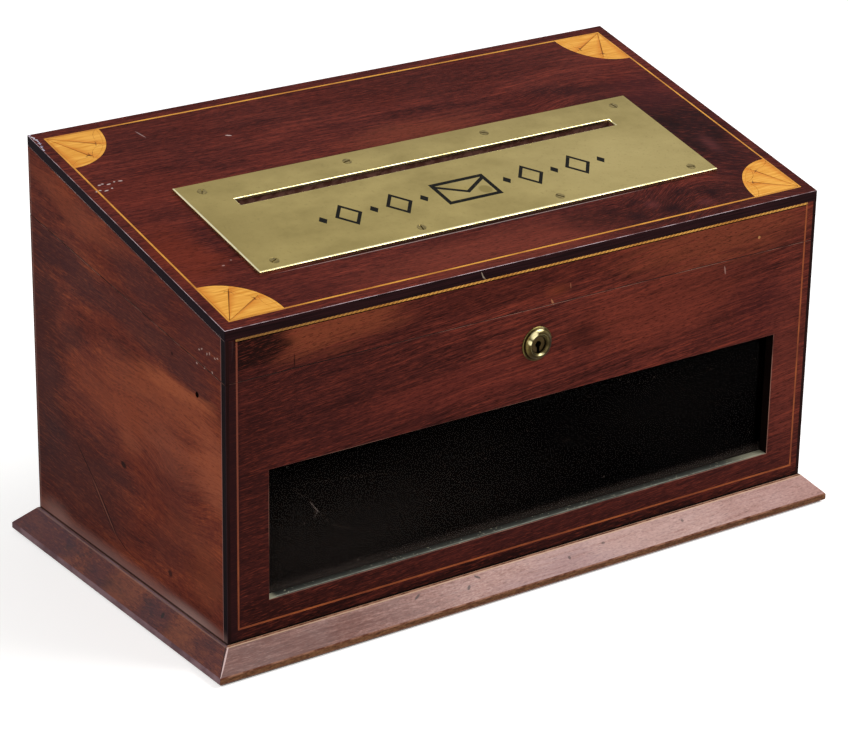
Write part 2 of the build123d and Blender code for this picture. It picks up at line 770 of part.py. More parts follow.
def posting_slot(margin):
    """Cutter of the posting slot through plate, veneer and panel, wider than the plate's slot by a margin."""
    with BuildPart() as cutter:
        with BuildSketch(ceiling_plane.offset(-waste)):
            with Locations((plate_centre_x, slot_centre_s)):
                Rectangle(slot_length + 2 * margin, slot_width + 2 * margin)
        extrude(amount=lid_panel_thickness + top_veneer_thickness + plate_thickness + 2 * waste)
    return cutter.part


with BuildPart() as lid_panel:
    add(plan_block(panel_x, panel_y, ceiling_plane, ground_plane))
    add(posting_slot(slot_wood_margin), mode=Mode.SUBTRACT)
    with Locations(*plate_screw_spots):
        add(plate_screw_hole, mode=Mode.SUBTRACT)
save(lid_panel, "lid_panel")

# ---------------------------------------------------------------- top veneer and its inlay
top_line_width = body_width - 2 * string_margin
top_line_depth = slope_length - 2 * string_margin
top_line_plane = Plane(top_plane.location * Location((0, slope_length / 2, 0)))
with BuildPart() as top_stringing:
    for outline in frame_strips(top_line_width, top_line_depth, string_width).values():
        with BuildSketch(top_line_plane):
            with BuildLine():
                Polyline(*outline, close=True)
            make_face()
        extrude(amount=-top_veneer_thickness)
save(top_stringing, "top_stringing")

# each fan springs from a corner inside the line
fan_x = top_line_width / 2 - string_width
fan_s = top_line_depth / 2 - string_width
quarter_turn = 90
fan_places = {
    "front_left": Location((-fan_x, -fan_s, 0), (0, 0, 0)),
    "front_right": Location((fan_x, -fan_s, 0), (0, 0, quarter_turn)),
    "back_right": Location((fan_x, fan_s, 0), (0, 0, 2 * quarter_turn)),
    "back_left": Location((-fan_x, fan_s, 0), (0, 0, 3 * quarter_turn)),
}
fan_planes = {corner: Plane(top_line_plane.location * place) for corner, place in fan_places.items()}
blade_sweep = quarter_turn / fan_blades


def ray_point(radius, angle):
    """Point of a fan, from its apex."""
    return (radius * cos(radians(angle)), radius * sin(radians(angle)))


def quarter_disc(plane):
    """The veneer that a whole fan takes up, its apex at the plane's origin."""
    with BuildPart() as disc:
        with BuildSketch(plane):
            with BuildLine():
                Line((0, 0), ray_point(fan_radius, 0))
                ThreePointArc(*[ray_point(fan_radius, share * quarter_turn) for share in (0, 0.5, 1)])
                Line(ray_point(fan_radius, quarter_turn), (0, 0))
            make_face()
        extrude(amount=-top_veneer_thickness)
    return disc.part


def fan_blade(plane, index, inset=0.0):
    """One blade of a fan, with its hollowed tip, drawn in all round by an inset."""
    start = index * blade_sweep
    tip = ray_point(blade_tip_radius, start)
    dip = ray_point(blade_dip_radius, start + blade_sweep / 2)
    next_tip = ray_point(blade_tip_radius, start + blade_sweep)
    with BuildPart() as blade:
        with BuildSketch(plane):
            with BuildLine():
                Line((0, 0), tip)
                ThreePointArc(tip, dip, next_tip)
                Line(next_tip, (0, 0))
            make_face()
            if inset:
                offset(amount=-inset, kind=Kind.INTERSECTION)
        extrude(amount=-top_veneer_thickness)
    return blade.part


for corner, fan_plane in fan_planes.items():
    with BuildPart() as fan:
        # what is left outside the blades is the fan's border
        add(quarter_disc(fan_plane))
        for index in range(fan_blades):
            add(fan_blade(fan_plane, index), mode=Mode.SUBTRACT)
        for index in range(fan_blades):
            add(fan_blade(fan_plane, index, fan_joint / 2))
    save(fan, f"fan_{corner}")

with BuildPart() as top_veneer:
    add(plan_block((-half_width, half_width), (front_y, back_y), ground_plane, top_plane))
    add(posting_slot(slot_wood_margin), mode=Mode.SUBTRACT)
    add(top_stringing.part, mode=Mode.SUBTRACT)
    for fan_plane in fan_planes.values():
        add(quarter_disc(fan_plane), mode=Mode.SUBTRACT)
    with Locations(*plate_screw_spots):
        add(plate_screw_hole, mode=Mode.SUBTRACT)
save(top_veneer, "top_veneer")

# ---------------------------------------------------------------- posting plate and its ornament
ornament_plane = Plane(plate_top.location * Location((plate_centre_x, ornament_centre_s, 0)))


def lozenge(width, height, mode=Mode.ADD):
    """Upright lozenge in the sketch in hand."""
    Polygon((-width / 2, 0), (0, -height / 2), (width / 2, 0), (0, height / 2), align=None, mode=mode)


with BuildPart() as plate_ornament:
    # an envelope in the middle: outline and flap
    with BuildSketch(ornament_plane):
        Rectangle(envelope_width, ornament_height)
        inside_width = envelope_width - 2 * ornament_stroke
        inside_height = ornament_height - 2 * ornament_stroke
        Rectangle(inside_width, inside_height, mode=Mode.SUBTRACT)
        flap_x = inside_width / 2
        flap_top = inside_height / 2
        with BuildLine():
            Polyline(
                (-flap_x, flap_top),
                (0, -ornament_stroke / 2),
                (flap_x, flap_top),
                (flap_x, flap_top - ornament_stroke),
                (0, -3 * ornament_stroke / 2),
                (-flap_x, flap_top - ornament_stroke),
                close=True,
            )
        make_face()
    extrude(amount=-ornament_depth)
    # beads and open lozenges by turns to either side
    lozenge_inside = 1 - 2 * ornament_stroke / lozenge_width
    for side in (-1, 1):
        for index in range(marks_each_side):
            mark_x = side * (first_mark_x + index * mark_pitch)
            with BuildSketch(Plane(ornament_plane.location * Location((mark_x, 0, 0)))):
                if index % 2:
                    lozenge(lozenge_width, ornament_height)
                    lozenge(lozenge_width * lozenge_inside, ornament_height * lozenge_inside, Mode.SUBTRACT)
                else:
                    lozenge(bead_width, bead_height)
            extrude(amount=-ornament_depth)
save(plate_ornament, "plate_ornament")

with BuildPart() as letter_plate:
    with BuildSketch(top_plane):
        with Locations((plate_centre_x, plate_centre_s)):
            Rectangle(plate_width, plate_depth)
    extrude(amount=plate_thickness)
    upper_face = letter_plate.faces().sort_by(Axis(top_plane.origin, top_plane.z_dir))[-1]
    chamfer(upper_face.edges(), length=plate_bevel)
    add(posting_slot(0), mode=Mode.SUBTRACT)
    with Locations(*plate_screw_spots):
        add(plate_screw_hole, mode=Mode.SUBTRACT)
    add(plate_ornament.part, mode=Mode.SUBTRACT)
save(letter_plate, "letter_plate")

with BuildPart() as plate_screws:
    with Locations(*plate_screw_spots):
        add(screw(plate_screw_head, plate_screw_shank, plate_screw_length))
save(plate_screws, "plate_screws")

# ---------------------------------------------------------------- link plate
with BuildPart() as link_plate:
    add(plan_block(link_plate_x, link_plate_y, lid_bottom, link_ceiling))
    for x in staple_xs:
        staple_plane = Plane(
            origin=(x, staple_top_y, staple_top_z),
            x_dir=(0, cos(parting_angle), sin(parting_angle)),
            z_dir=(1, 0, 0),
        )
        with BuildSketch(staple_plane):
            with Locations((0, (parting_gap - staple_drop) / 2)):
                Rectangle(staple_width, staple_drop + parting_gap)
            with Locations((0, -staple_eye_drop)):
                Rectangle(staple_eye_width, staple_eye_height, mode=Mode.SUBTRACT)
        extrude(amount=staple_thickness / 2, both=True)
    with Locations(*link_screw_spots):
        add(link_screw_hole, mode=Mode.SUBTRACT)
save(link_plate, "link_plate")

with BuildPart() as link_screws:
    with Locations(*link_screw_spots):
        add(screw(link_screw_head, link_screw_shank, link_screw_length))
save(link_screws, "link_screws")

# ---------------------------------------------------------------- hinges
knuckle_length = hinge_length / knuckle_count


def hinge_leaf(centre_x, parity, lower, upper, screw_spots):
    """One leaf with its own knuckles, cleared for the other leaf's, and bored for the pin."""
    start_x = centre_x - hinge_length / 2
    with BuildPart() as leaf:
        add(plan_block((start_x, start_x + hinge_length), (leaf_front_y, hinge_axis_y), lower, upper))
        for index in range(knuckle_count):
            own = index % 2 == parity
            margin = knuckle_gap / 2 if own else -knuckle_gap / 2
            with BuildSketch(Plane.YZ.offset(start_x + index * knuckle_length + margin)):
                with Locations((hinge_axis_y, hinge_axis_z)):
                    Circle(knuckle_radius if own else knuckle_radius + knuckle_clearance)
            extrude(amount=knuckle_length - 2 * margin, mode=Mode.ADD if own else Mode.SUBTRACT)
        with BuildSketch(Plane.YZ.offset(start_x - waste)):
            with Locations((hinge_axis_y, hinge_axis_z)):
                Circle(hinge_pin_radius + hinge_pin_clearance)
        extrude(amount=hinge_length + 2 * waste, mode=Mode.SUBTRACT)
        with Locations(*screw_spots):
            add(hinge_screw_hole, mode=Mode.SUBTRACT)
    return leaf.part


leaf_floor = body_top.offset(-hinge_leaf_thickness)
for side, centre_x in zip(("left", "right"), hinge_xs):
    with BuildPart() as body_leaf:
        add(hinge_leaf(centre_x, 0, leaf_floor, body_top, body_hinge_screw_spots))
    save(body_leaf, f"hinge_body_leaf_{side}")
    with BuildPart() as lid_leaf:
        add(hinge_leaf(centre_x, 1, lid_bottom, leaf_ceiling, lid_hinge_screw_spots))
    save(lid_leaf, f"hinge_lid_leaf_{side}")

with BuildPart() as hinge_pins:
    for centre_x in hinge_xs:
        with BuildSketch(Plane.YZ.offset(centre_x - hinge_length / 2)):
            with Locations((hinge_axis_y, hinge_axis_z)):
                Circle(hinge_pin_radius)
        extrude(amount=hinge_length)
save(hinge_pins, "hinge_pins")

with BuildPart() as hinge_body_screws:
    with Locations(*body_hinge_screw_spots):
        add(screw(hinge_screw_head, hinge_screw_shank, hinge_screw_length))
save(hinge_body_screws, "hinge_body_screws")

with BuildPart() as hinge_lid_screws:
    with Locations(*lid_hinge_screw_spots):
        add(screw(hinge_screw_head, hinge_screw_shank, hinge_screw_length))
save(hinge_lid_screws, "hinge_lid_screws")

print(f"slope {degrees(top_angle):.2f} deg, parting line {degrees(parting_angle):.2f} deg")
print(f"hinge axis y {hinge_axis_y:.3f} z {hinge_axis_z:.3f}, lock z {lock_z:.2f}")
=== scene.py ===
import json
from collections import namedtuple
from math import atan2, cos, hypot, radians, sin, tan

import bmesh
import bpy
from mathutils import Matrix, Vector

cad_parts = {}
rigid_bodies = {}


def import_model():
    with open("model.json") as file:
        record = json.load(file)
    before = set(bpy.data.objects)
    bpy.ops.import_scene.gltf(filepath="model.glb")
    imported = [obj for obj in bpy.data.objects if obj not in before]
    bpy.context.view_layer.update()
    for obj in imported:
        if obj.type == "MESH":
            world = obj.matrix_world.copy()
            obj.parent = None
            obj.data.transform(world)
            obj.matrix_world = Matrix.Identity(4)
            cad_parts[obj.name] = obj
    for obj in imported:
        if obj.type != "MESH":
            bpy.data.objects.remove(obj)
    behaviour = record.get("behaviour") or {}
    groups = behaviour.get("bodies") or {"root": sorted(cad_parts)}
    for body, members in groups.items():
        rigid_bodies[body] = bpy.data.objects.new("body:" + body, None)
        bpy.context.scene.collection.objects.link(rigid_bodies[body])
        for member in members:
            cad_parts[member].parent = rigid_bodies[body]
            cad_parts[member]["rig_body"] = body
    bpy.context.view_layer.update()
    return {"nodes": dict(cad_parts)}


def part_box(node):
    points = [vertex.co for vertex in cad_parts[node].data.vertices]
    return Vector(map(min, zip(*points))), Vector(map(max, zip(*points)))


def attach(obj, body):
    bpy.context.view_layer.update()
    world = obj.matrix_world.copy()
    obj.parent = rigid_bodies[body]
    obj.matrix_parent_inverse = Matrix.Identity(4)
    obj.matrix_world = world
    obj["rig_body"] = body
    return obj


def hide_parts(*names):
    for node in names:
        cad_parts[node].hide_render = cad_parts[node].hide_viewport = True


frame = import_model()
nodes = frame["nodes"]
scene = bpy.context.scene
mm = 0.001

# ---------------------------------------------------------------- view
# The box seen from its front left and a little above. The lens looks down without a shift, so
# the uprights draw together a little, as they do to an eye at this place.
look_at = Vector((0, -2.5, 105)) * mm
view_distance = 1620 * mm
view_azimuth = radians(-35.55)
view_elevation = radians(22.01)
view_yaw = radians(35.43)
view_pitch = radians(22.68)
view_roll = radians(0.98)
frame_width = 848
focal_pixels = 3130
sensor_width = 36.0

camera = bpy.data.objects.new("view", bpy.data.cameras.new("view"))
scene.collection.objects.link(camera)
scene.camera = camera
camera.data.sensor_width = sensor_width
camera.data.lens = focal_pixels / frame_width * sensor_width
camera.data.clip_start = 50 * mm
camera.data.clip_end = 50.0
ahead = Vector((sin(view_yaw) * cos(view_pitch), cos(view_yaw) * cos(view_pitch), -sin(view_pitch)))
level = Vector((cos(view_yaw), -sin(view_yaw), 0))
upright = level.cross(ahead)
across = cos(view_roll) * level + sin(view_roll) * upright
upward = -sin(view_roll) * level + cos(view_roll) * upright
camera.matrix_world = Matrix((across, upward, -ahead)).transposed().to_4x4()
camera.location = look_at + view_distance * Vector((
    sin(view_azimuth) * cos(view_elevation), -cos(view_azimuth) * cos(view_elevation), sin(view_elevation),
))
scene.view_settings.view_transform = "Standard"


# ---------------------------------------------------------------- table and light
# A plain white table top in a white room, under a large soft lamp from the front right and a
# wider one from the left. What the lens, the polish and the glass see of the room is white.
def srgb(code):
    """Linear colour of an sRGB hex value."""
    levels = [int(code[i:i + 2], 16) / 255 for i in (1, 3, 5)]
    return tuple(v / 12.92 if v <= 0.04045 else ((v + 0.055) / 1.055) ** 2.4 for v in levels) + (1.0,)


def add_node(tree, kind, inputs=(), **settings):
    """Adds a node, sets its own settings, and fills its inputs with values or links them to sockets. A
    node given as a value stands for its first output in use."""
    node = tree.nodes.new(kind)
    for name, value in settings.items():
        setattr(node, name, value)
    for name, value in dict(inputs).items():
        if isinstance(value, bpy.types.Node):
            value = next(socket for socket in value.outputs if socket.enabled)
        if isinstance(value, bpy.types.NodeSocket):
            tree.links.new(value, node.inputs[name])
        else:
            node.inputs[name].default_value = value
    return node


def new_finish(name):
    """An empty material of that name, and its node tree."""
    finish = bpy.data.materials.new(name)
    finish.use_nodes = True
    finish.node_tree.nodes.clear()
    return finish, finish.node_tree


def work_out(tree, value, *steps):
    """A value put through several sums in turn. A step holds its operation and what else goes into it."""
    for operation, *others in steps:
        value = add_node(tree, "ShaderNodeMath", enumerate((value, *others)), operation=operation)
    return value


def surface_of(tree, inputs):
    """Ends a finish's tree in the surface that those inputs give."""
    surface = add_node(tree, "ShaderNodeBsdfPrincipled", inputs)
    add_node(tree, "ShaderNodeOutputMaterial", {"Surface": surface})


def seen_share(tree):
    """1 for what the lens sees straight, in polish or through glass, and 0 for what only lights things."""
    path = add_node(tree, "ShaderNodeLightPath").outputs
    return work_out(
        tree, path["Is Camera Ray"], ("MAXIMUM", path["Is Glossy Ray"]), ("MAXIMUM", path["Is Transmission Ray"]),
    )


room_light = 0.30
table_lift = 0.50
half_table = 7.0

world = bpy.data.worlds.new("white room")
scene.world = world
world.use_nodes = True
tree = world.node_tree
tree.nodes.clear()
strength = add_node(tree, "ShaderNodeMapRange", {"Value": seen_share(tree), "To Min": room_light, "To Max": 1.0})
background = add_node(tree, "ShaderNodeBackground", {"Color": (1, 1, 1, 1), "Strength": strength})
add_node(tree, "ShaderNodeOutputWorld", {"Surface": background})

# matt paint that shows plain white to the lens, and still takes the box's shadow
table_paint, tree = new_finish("white table paint")
surface_of(tree, {
    "Base Color": srgb("#f0efed"),
    "Roughness": 0.9,
    "Specular IOR Level": 0.0,
    "Emission Color": (1, 1, 1, 1),
    "Emission Strength": work_out(tree, seen_share(tree), ("MULTIPLY", table_lift)),
})

table_mesh = bpy.data.meshes.new("table")
table_corners = [(x * half_table, y * half_table, 0) for x, y in ((-1, -1), (1, -1), (1, 1), (-1, 1))]
table_mesh.from_pydata(table_corners, [], [(0, 1, 2, 3)])
table_mesh.materials.append(table_paint)
table = bpy.data.objects.new("table", table_mesh)
scene.collection.objects.link(table)

# which way each lamp lies, how far off it is, its width in metres and its power in watts
for name, towards, distance, width, power in (
    ("key lamp", (0.545, -0.374, 0.749), 2.2, 1.3, 40.0),
    ("left lamp", (-0.80, -0.25, 0.45), 2.4, 1.6, 27.0),
):
    data = bpy.data.lights.new(name, "AREA")
    data.shape = "SQUARE"
    data.size = width
    data.energy = power
    light = bpy.data.objects.new(name, data)
    scene.collection.objects.link(light)
    towards = Vector(towards).normalized()
    light.location = look_at + distance * towards
    light.rotation_mode = "QUATERNION"
    light.rotation_quaternion = towards.to_track_quat("Z", "Y")


# ---------------------------------------------------------------- base board and its screws
# A mahogany board, painted nearly black on the inside as the shade of the shut box, with steel
# screws up into the walls. Only its upper face shows, as the dark floor behind the window.
def share_of(tree, *steps):
    """Product of the shares of several values. A step holds a value, the two values that it goes between,
    the share at either, and SMOOTHSTEP where it starts and ends softly."""
    product = None
    for value, low, high, at_low, at_high, *softness in steps:
        share = add_node(tree, "ShaderNodeMapRange", {
            "Value": value, "From Min": low, "From Max": high, "To Min": at_low, "To Max": at_high,
        }, interpolation_type=softness[0] if softness else "LINEAR")
        product = share if product is None else work_out(tree, product, ("MULTIPLY", share))
    return product


def tinted(tree, colour, tone, *steps):
    """A colour with a tone laid over it by the share of those steps."""
    return add_node(tree, "ShaderNodeMix", {0: share_of(tree, *steps), 6: colour, 7: srgb(tone)}, data_type="RGBA")


# An oval spot of a face: its middle, its reach along and across the grain in mm, how much of what is
# under it its tone covers, its turn in degrees, and its crispness, which is 1 for a spot that fades all
# the way from its middle to its reach.
Spot = namedtuple("Spot", "x y length width strength tone turn crispness", defaults=(None, 0, None))
through = 1e5  # depth of a spot, so that it reaches through any board


def spot_share(tree, face, spot, crispness, ragged=None):
    """Share of a spot, full at its middle and none past its reach. A ragged factor breaks up its edge."""
    unit = add_node(tree, "ShaderNodeMapping", {
        "Vector": face, "Location": (spot.x, spot.y, 0), "Rotation": (0, 0, radians(spot.turn)),
        "Scale": (spot.length, spot.width, through),
    }, vector_type="TEXTURE")
    height = add_node(tree, "ShaderNodeTexGradient", {"Vector": unit}, gradient_type="SPHERICAL").outputs["Fac"]
    if ragged is not None:
        height = work_out(tree, height, ("MULTIPLY", ragged))
    return share_of(tree, (height, 0.0, 1 / (spot.crispness or crispness), 0.0, spot.strength, "SMOOTHSTEP"))


def lay_spots(tree, face, colour, spots, crispness, ragged=None):
    """A colour with spots laid over it. The crispness is for those that have none of their own."""
    for spot in spots:
        share = spot_share(tree, face, spot, crispness, ragged)
        colour = add_node(tree, "ShaderNodeMix", {0: share, 6: colour, 7: srgb(spot.tone)}, data_type="RGBA")
    return colour


def long_noise(tree, face, length, width, detail=2.0, roughness=0.5, seed=0.0):
    """Noise from 0 to 1 whose grains are that long along X and that wide across it, in mm."""
    shrunk = add_node(tree, "ShaderNodeMapping", {
        "Vector": face, "Location": (seed, 0, 0), "Scale": (1 / length, 1 / width, 1 / width),
    })
    return add_node(tree, "ShaderNodeTexNoise", {
        "Vector": shrunk, "Scale": 1.0, "Detail": detail, "Roughness": roughness,
    }).outputs["Fac"]


def shifted(tree, face, size, reach, detail=2.0, seed=0.0):
    """The same places pushed about by noise of that size, up to that reach each way, in mm."""
    drift = add_node(tree, "ShaderNodeMapping", {
        "Vector": face, "Location": (seed, seed, 0), "Scale": [1 / length for length in size],
    })
    waves = add_node(tree, "ShaderNodeTexNoise", {"Vector": drift, "Scale": 1.0, "Detail": detail}).outputs["Color"]
    centred = add_node(tree, "ShaderNodeVectorMath", {0: waves, 1: (0.5,) * 3}, operation="SUBTRACT")
    return add_node(tree, "ShaderNodeVectorMath", {
        0: centred, 1: [2 * length for length in reach], 2: face,
    }, operation="MULTIPLY_ADD")


front_turn = (radians(-90), 0, 0)
side_turn = (radians(-90), radians(-90), 0)


def face_space(tree, turn, origin=0.0):
    """Places on one face of the box, in mm: X along the grain, Y across it from that origin."""
    place = add_node(tree, "ShaderNodeTexCoord").outputs["Object"]
    return add_node(tree, "ShaderNodeMapping", {
        "Vector": place, "Location": (0, -origin, 0), "Rotation": turn, "Scale": (1 / mm,) * 3,
    })


def off_place(tree, face, axis, place):
    """How far from a place along one axis of a face, in mm."""
    along = add_node(tree, "ShaderNodeSeparateXYZ", {"Vector": face}).outputs[axis]
    return work_out(tree, along, ("SUBTRACT", place), ("ABSOLUTE",))


def set_tones(ramp, stops):
    """Gives a colour ramp its stops, as places from 0 to 1 with their tones."""
    elements = ramp.color_ramp.elements
    for _ in stops[2:]:
        elements.new(0.5)
    for element, (place, tone) in zip(elements, stops):
        element.position = place
        element.color = srgb(tone)


# length and width in mm of what makes up the grain, and how much each tells: the figure, streaks,
# fine streaks, short fibres and a faint ripple across
plain_grain = ((110, 18, 0.60), (60, 1.6, 0.42), (22, 0.7, 0.45), (6, 0.45, 0.45), (5, 12, 0.12))


def mahogany(name, turn, tones, origin=0.0, slant=0.0, wander=5.0, clouds=(), marks=(), knot=None, seed=0.0,
             gloss=0.012, polish=0.38, layers=plain_grain, pore_share=0.6, fibre_share=0.45, tremor=0.35, bands=()):
    """Old mahogany under French polish: streaks and short dark pores along a grain that wanders and
    swells round a knot, whose strength is its swell in mm, darker and lighter clouds in its figure, and
    cracks and scratches laid on it. tones go from its darkest to its lightest. Its old polish mirrors far
    less than new lacquer."""
    finish, tree = new_finish(name)
    face = face_space(tree, turn, origin)
    along = add_node(tree, "ShaderNodeMapping", {"Vector": face, "Rotation": (0, 0, radians(-slant))})
    if knot:
        # streaks run round a knot as lines of equal height run round a hill
        loose = shifted(tree, face, (45, 45, 45), (9, 9, 0), seed=seed + 3)
        hill = spot_share(tree, loose, knot, 1.0)
        along = add_node(tree, "ShaderNodeVectorMath", {0: hill, 1: (0, 1, 0), 2: along}, operation="MULTIPLY_ADD")
    grain = shifted(tree, along, (70, 28, 28), (wander, wander / 2, wander / 2), detail=1.5, seed=seed)
    grain = shifted(tree, grain, (9, 5, 5), (0.6, tremor, tremor), seed=seed + 2)

    tone_share = 0.5
    for length, width, share in layers:
        layer = long_noise(tree, grain, length, width, detail=4.0, roughness=0.62, seed=seed + width)
        tone_share = work_out(tree, layer, ("SUBTRACT", 0.5), ("MULTIPLY_ADD", share, tone_share))
    colour = add_node(tree, "ShaderNodeValToRGB", {"Fac": tone_share})
    set_tones(colour, list(zip((0.30, 0.52, 0.74), tones)))

    if clouds:
        loose = shifted(tree, face, (38, 16, 16), (14, 7, 0), detail=4.0, seed=seed + 5)
        streaks = long_noise(tree, grain, 30, 1.4, detail=4.0, roughness=0.65, seed=seed + 7)
        ragged = share_of(tree, (streaks, 0.32, 0.68, 0.45, 1.55))
        colour = lay_spots(tree, loose, colour, clouds, 1.4, ragged)

    # vessels are 0.2 mm wide, and drawn at 0.35 mm so that they show
    pores = long_noise(tree, grain, 3.2, 0.35, seed=seed + 11)
    colour = tinted(tree, colour, "#160807", (pores, 0.30, 0.46, pore_share, 0.0))
    fibres = long_noise(tree, grain, 5.0, 0.4, seed=seed + 19)
    colour = tinted(tree, colour, tones[2], (fibres, 0.54, 0.72, 0.0, fibre_share))
    for low, high, tone, strength in bands:
        # a strip of the face between two places along X
        half, soft_edge = (high - low) / 2, 0.15
        away = off_place(tree, face, "X", (low + high) / 2)
        colour = tinted(tree, colour, tone, (away, half - soft_edge, half + soft_edge, strength, 0.0))
    colour = lay_spots(tree, face, colour, marks, 3.0)

    worn = long_noise(tree, face, 35, 25, detail=3.0, seed=seed + 13)
    relief = add_node(tree, "ShaderNodeBump", {"Height": pores, "Strength": 0.2, "Distance": 0.05 * mm})
    surface_of(tree, {
        "Base Color": colour,
        "Roughness": share_of(tree, (worn, 0.3, 0.7, polish - 0.08, polish + 0.10)),
        "Specular IOR Level": gloss,
        "Normal": relief,
    })
    return finish


def refinish(finish, *names):
    """Gives CAD nodes whose shapes are right their finish."""
    for name in names:
        nodes[name].data.materials.clear()
        nodes[name].data.materials.append(finish)


# painted shade: nearly black and dull, for the shade inside the shut box
inside_painted_shade = mahogany(
    "mahogany painted near black as shade, inside", front_turn, ("#0c0605", "#140a08", "#1d0f0c"), seed=21.0, gloss=0.01, polish=0.6,
)
refinish(inside_painted_shade, "base_board")


def metal(name, tones, patch_size, roughness, brush=(40, 0.35), turn=front_turn, tarnish=None, clouds=(), origin=0.0):
    """Plain metal with a mottled skin: patches of tarnish between two tones, and fine rubbing lines
    along one way that break up its shine. A metal mirrors its own colour."""
    finish, tree = new_finish(name)
    face = face_space(tree, turn, origin)
    patches = long_noise(tree, face, patch_size, patch_size * 0.7, detail=4.0, roughness=0.6)
    colour = tinted(tree, srgb(tones[0]), tones[1], (patches, 0.32, 0.68, 0.0, 1.0))
    colour = lay_spots(tree, face, colour, clouds, 1.0)
    if tarnish:
        specks = long_noise(tree, face, 1.6, 1.6, seed=4.0)
        colour = tinted(tree, colour, tarnish, (specks, 0.60, 0.72, 0.0, 0.35))
    lines = long_noise(tree, face, *brush, seed=8.0)
    relief = add_node(tree, "ShaderNodeBump", {"Height": lines, "Strength": 0.12, "Distance": 0.02 * mm})
    surface_of(tree, {
        "Base Color": colour,
        "Metallic": 1.0,
        "Roughness": share_of(tree, (patches, 0.3, 0.7, roughness + 0.06, roughness - 0.06)),
        "Normal": relief,
    })
    return finish


# steel gone grey with a little rust in its slots
screw_steel = metal("dulled steel screws", ("#5b5753", "#7d7974"), 3.0, 0.42, tarnish="#4a3428")
refinish(screw_steel, "base_screws")

# ---------------------------------------------------------------- baize foot
# Green wool baize glued under the base, so that the box doesn't scratch a desk. It shows as a
# thin matt line in the shadow under the plinth, and as the whole underside.
baize, tree = new_finish("green wool baize")
face = face_space(tree, (0, 0, 0))
fibres = long_noise(tree, face, 2.2, 0.5, detail=3.0)
naps = long_noise(tree, face, 14, 11, detail=3.0, seed=3.0)
colour = tinted(tree, srgb("#1e3a26"), "#33573b", (fibres, 0.3, 0.7, 0.0, 1.0))
colour = tinted(tree, colour, "#26402b", (naps, 0.45, 0.75, 0.0, 0.5))
relief = add_node(tree, "ShaderNodeBump", {"Height": fibres, "Strength": 0.6, "Distance": 0.3 * mm})
surface_of(tree, {
    "Base Color": colour,
    "Roughness": 0.95,
    "Specular IOR Level": 0.2,
    "Sheen Weight": 0.4,
    "Sheen Roughness": 0.5,
    "Normal": relief,
})
refinish(baize, "base_baize")

# ---------------------------------------------------------------- plinth
# Four lengths of splayed mahogany moulding, mitred and glued round the base. Its polish is
# glossier than the case's where dusters never reach, and the lamp's sheen is painted on its front
# splay. Its arrises are rubbed pale, and painted paler as the highlights they catch.
merge_gap = 0.002 * mm
one_flat = radians(0.5)  # under which two faces are one
sharp = radians(20)  # over which two faces meet in an arris
smooth = radians(32)  # under which two faces shade as one
near = 0.1  # mm within which a face or an edge counts as lying at a place
square_on = 0.9  # cosine over which a face counts as looking one way


def settle(piece):
    """Works a piece's modifiers into its mesh and takes them off."""
    bpy.context.view_layer.update()
    settled = bpy.data.meshes.new_from_object(piece.evaluated_get(bpy.context.evaluated_depsgraph_get()))
    piece.modifiers.clear()
    piece.data = settled


def dress(name, finishes, finish_of, arris_width=0.0, arris_of=None, arris_finish=None, drill=None):
    """A copy of a CAD node with a finish for each face and its worn arrises rounded over. finish_of
    takes a face's normal and middle, arris_of the normals beside a sharp edge and its middle, in mm.
    A drill is cut out of it."""
    node = nodes[name]
    mesh = node.data.copy()
    mesh.name = name
    mesh.materials.clear()
    for finish in finishes:
        mesh.materials.append(finish)
    form = bmesh.new()
    form.from_mesh(mesh)
    bmesh.ops.remove_doubles(form, verts=form.verts, dist=merge_gap)
    bmesh.ops.dissolve_limit(form, angle_limit=one_flat, verts=form.verts, edges=form.edges)
    for face in form.faces:
        face.material_index = finish_of(face.normal, face.calc_center_median() / mm)
    if arris_of:
        weight = form.edges.layers.float.new("bevel_weight_edge")
        for edge in form.edges:
            if len(edge.link_faces) == 2 and edge.calc_face_angle(0.0) > sharp:
                middle = (edge.verts[0].co + edge.verts[1].co) / 2 / mm
                edge[weight] = arris_of(*[face.normal for face in edge.link_faces], middle)
    form.to_mesh(mesh)
    form.free()
    piece = bpy.data.objects.new(name + "_dressed", mesh)
    scene.collection.objects.link(piece)
    if arris_of:
        rounding = piece.modifiers.new("arrises", "BEVEL")
        rounding.limit_method = "WEIGHT"
        rounding.width = arris_width * mm
        rounding.segments = 3
        if arris_finish is not None:
            if arris_finish not in finishes:
                mesh.materials.append(arris_finish)
            rounding.material = list(mesh.materials).index(arris_finish)
    if drill:
        cut = piece.modifiers.new("hole", "BOOLEAN")
        cut.operation = "DIFFERENCE"
        cut.solver = "EXACT"
        cut.material_mode = "TRANSFER"
        cut.object = drill
    settle(piece)
    piece.data.shade_smooth()
    piece.data.set_sharp_from_angle(angle=smooth)
    flatness = piece.modifiers.new("flat faces stay flat", "WEIGHTED_NORMAL")
    flatness.weight = 100
    flatness.keep_sharp = True
    settle(piece)
    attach(piece, node["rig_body"])
    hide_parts(name)


def two_toned(name, tones, patch, span=(0.42, 0.58), roughness=0.5, gloss=0.05, turn=front_turn, spots=(),
              crispness=1.0, outer=None, detail=4.0, grit=0.6, origin=0.0):
    """A thin or small piece's finish, in patches of two tones between two values of their noise. outer
    is a tone past a distance from the box's middle, in mm."""
    finish, tree = new_finish(name)
    face = face_space(tree, turn, origin)
    patches = long_noise(tree, face, *patch, detail=detail, roughness=grit)
    colour = tinted(tree, srgb(tones[0]), tones[1], (patches, *span, 0.0, 1.0))
    if outer:
        place, tone = outer
        colour = tinted(tree, colour, tone, (off_place(tree, face, "X", 0.0), place - 0.1, place + 0.1, 0.0, 1.0))
    colour = lay_spots(tree, face, colour, spots, crispness)
    surface_of(tree, {"Base Color": colour, "Roughness": roughness, "Specular IOR Level": gloss})
    return finish


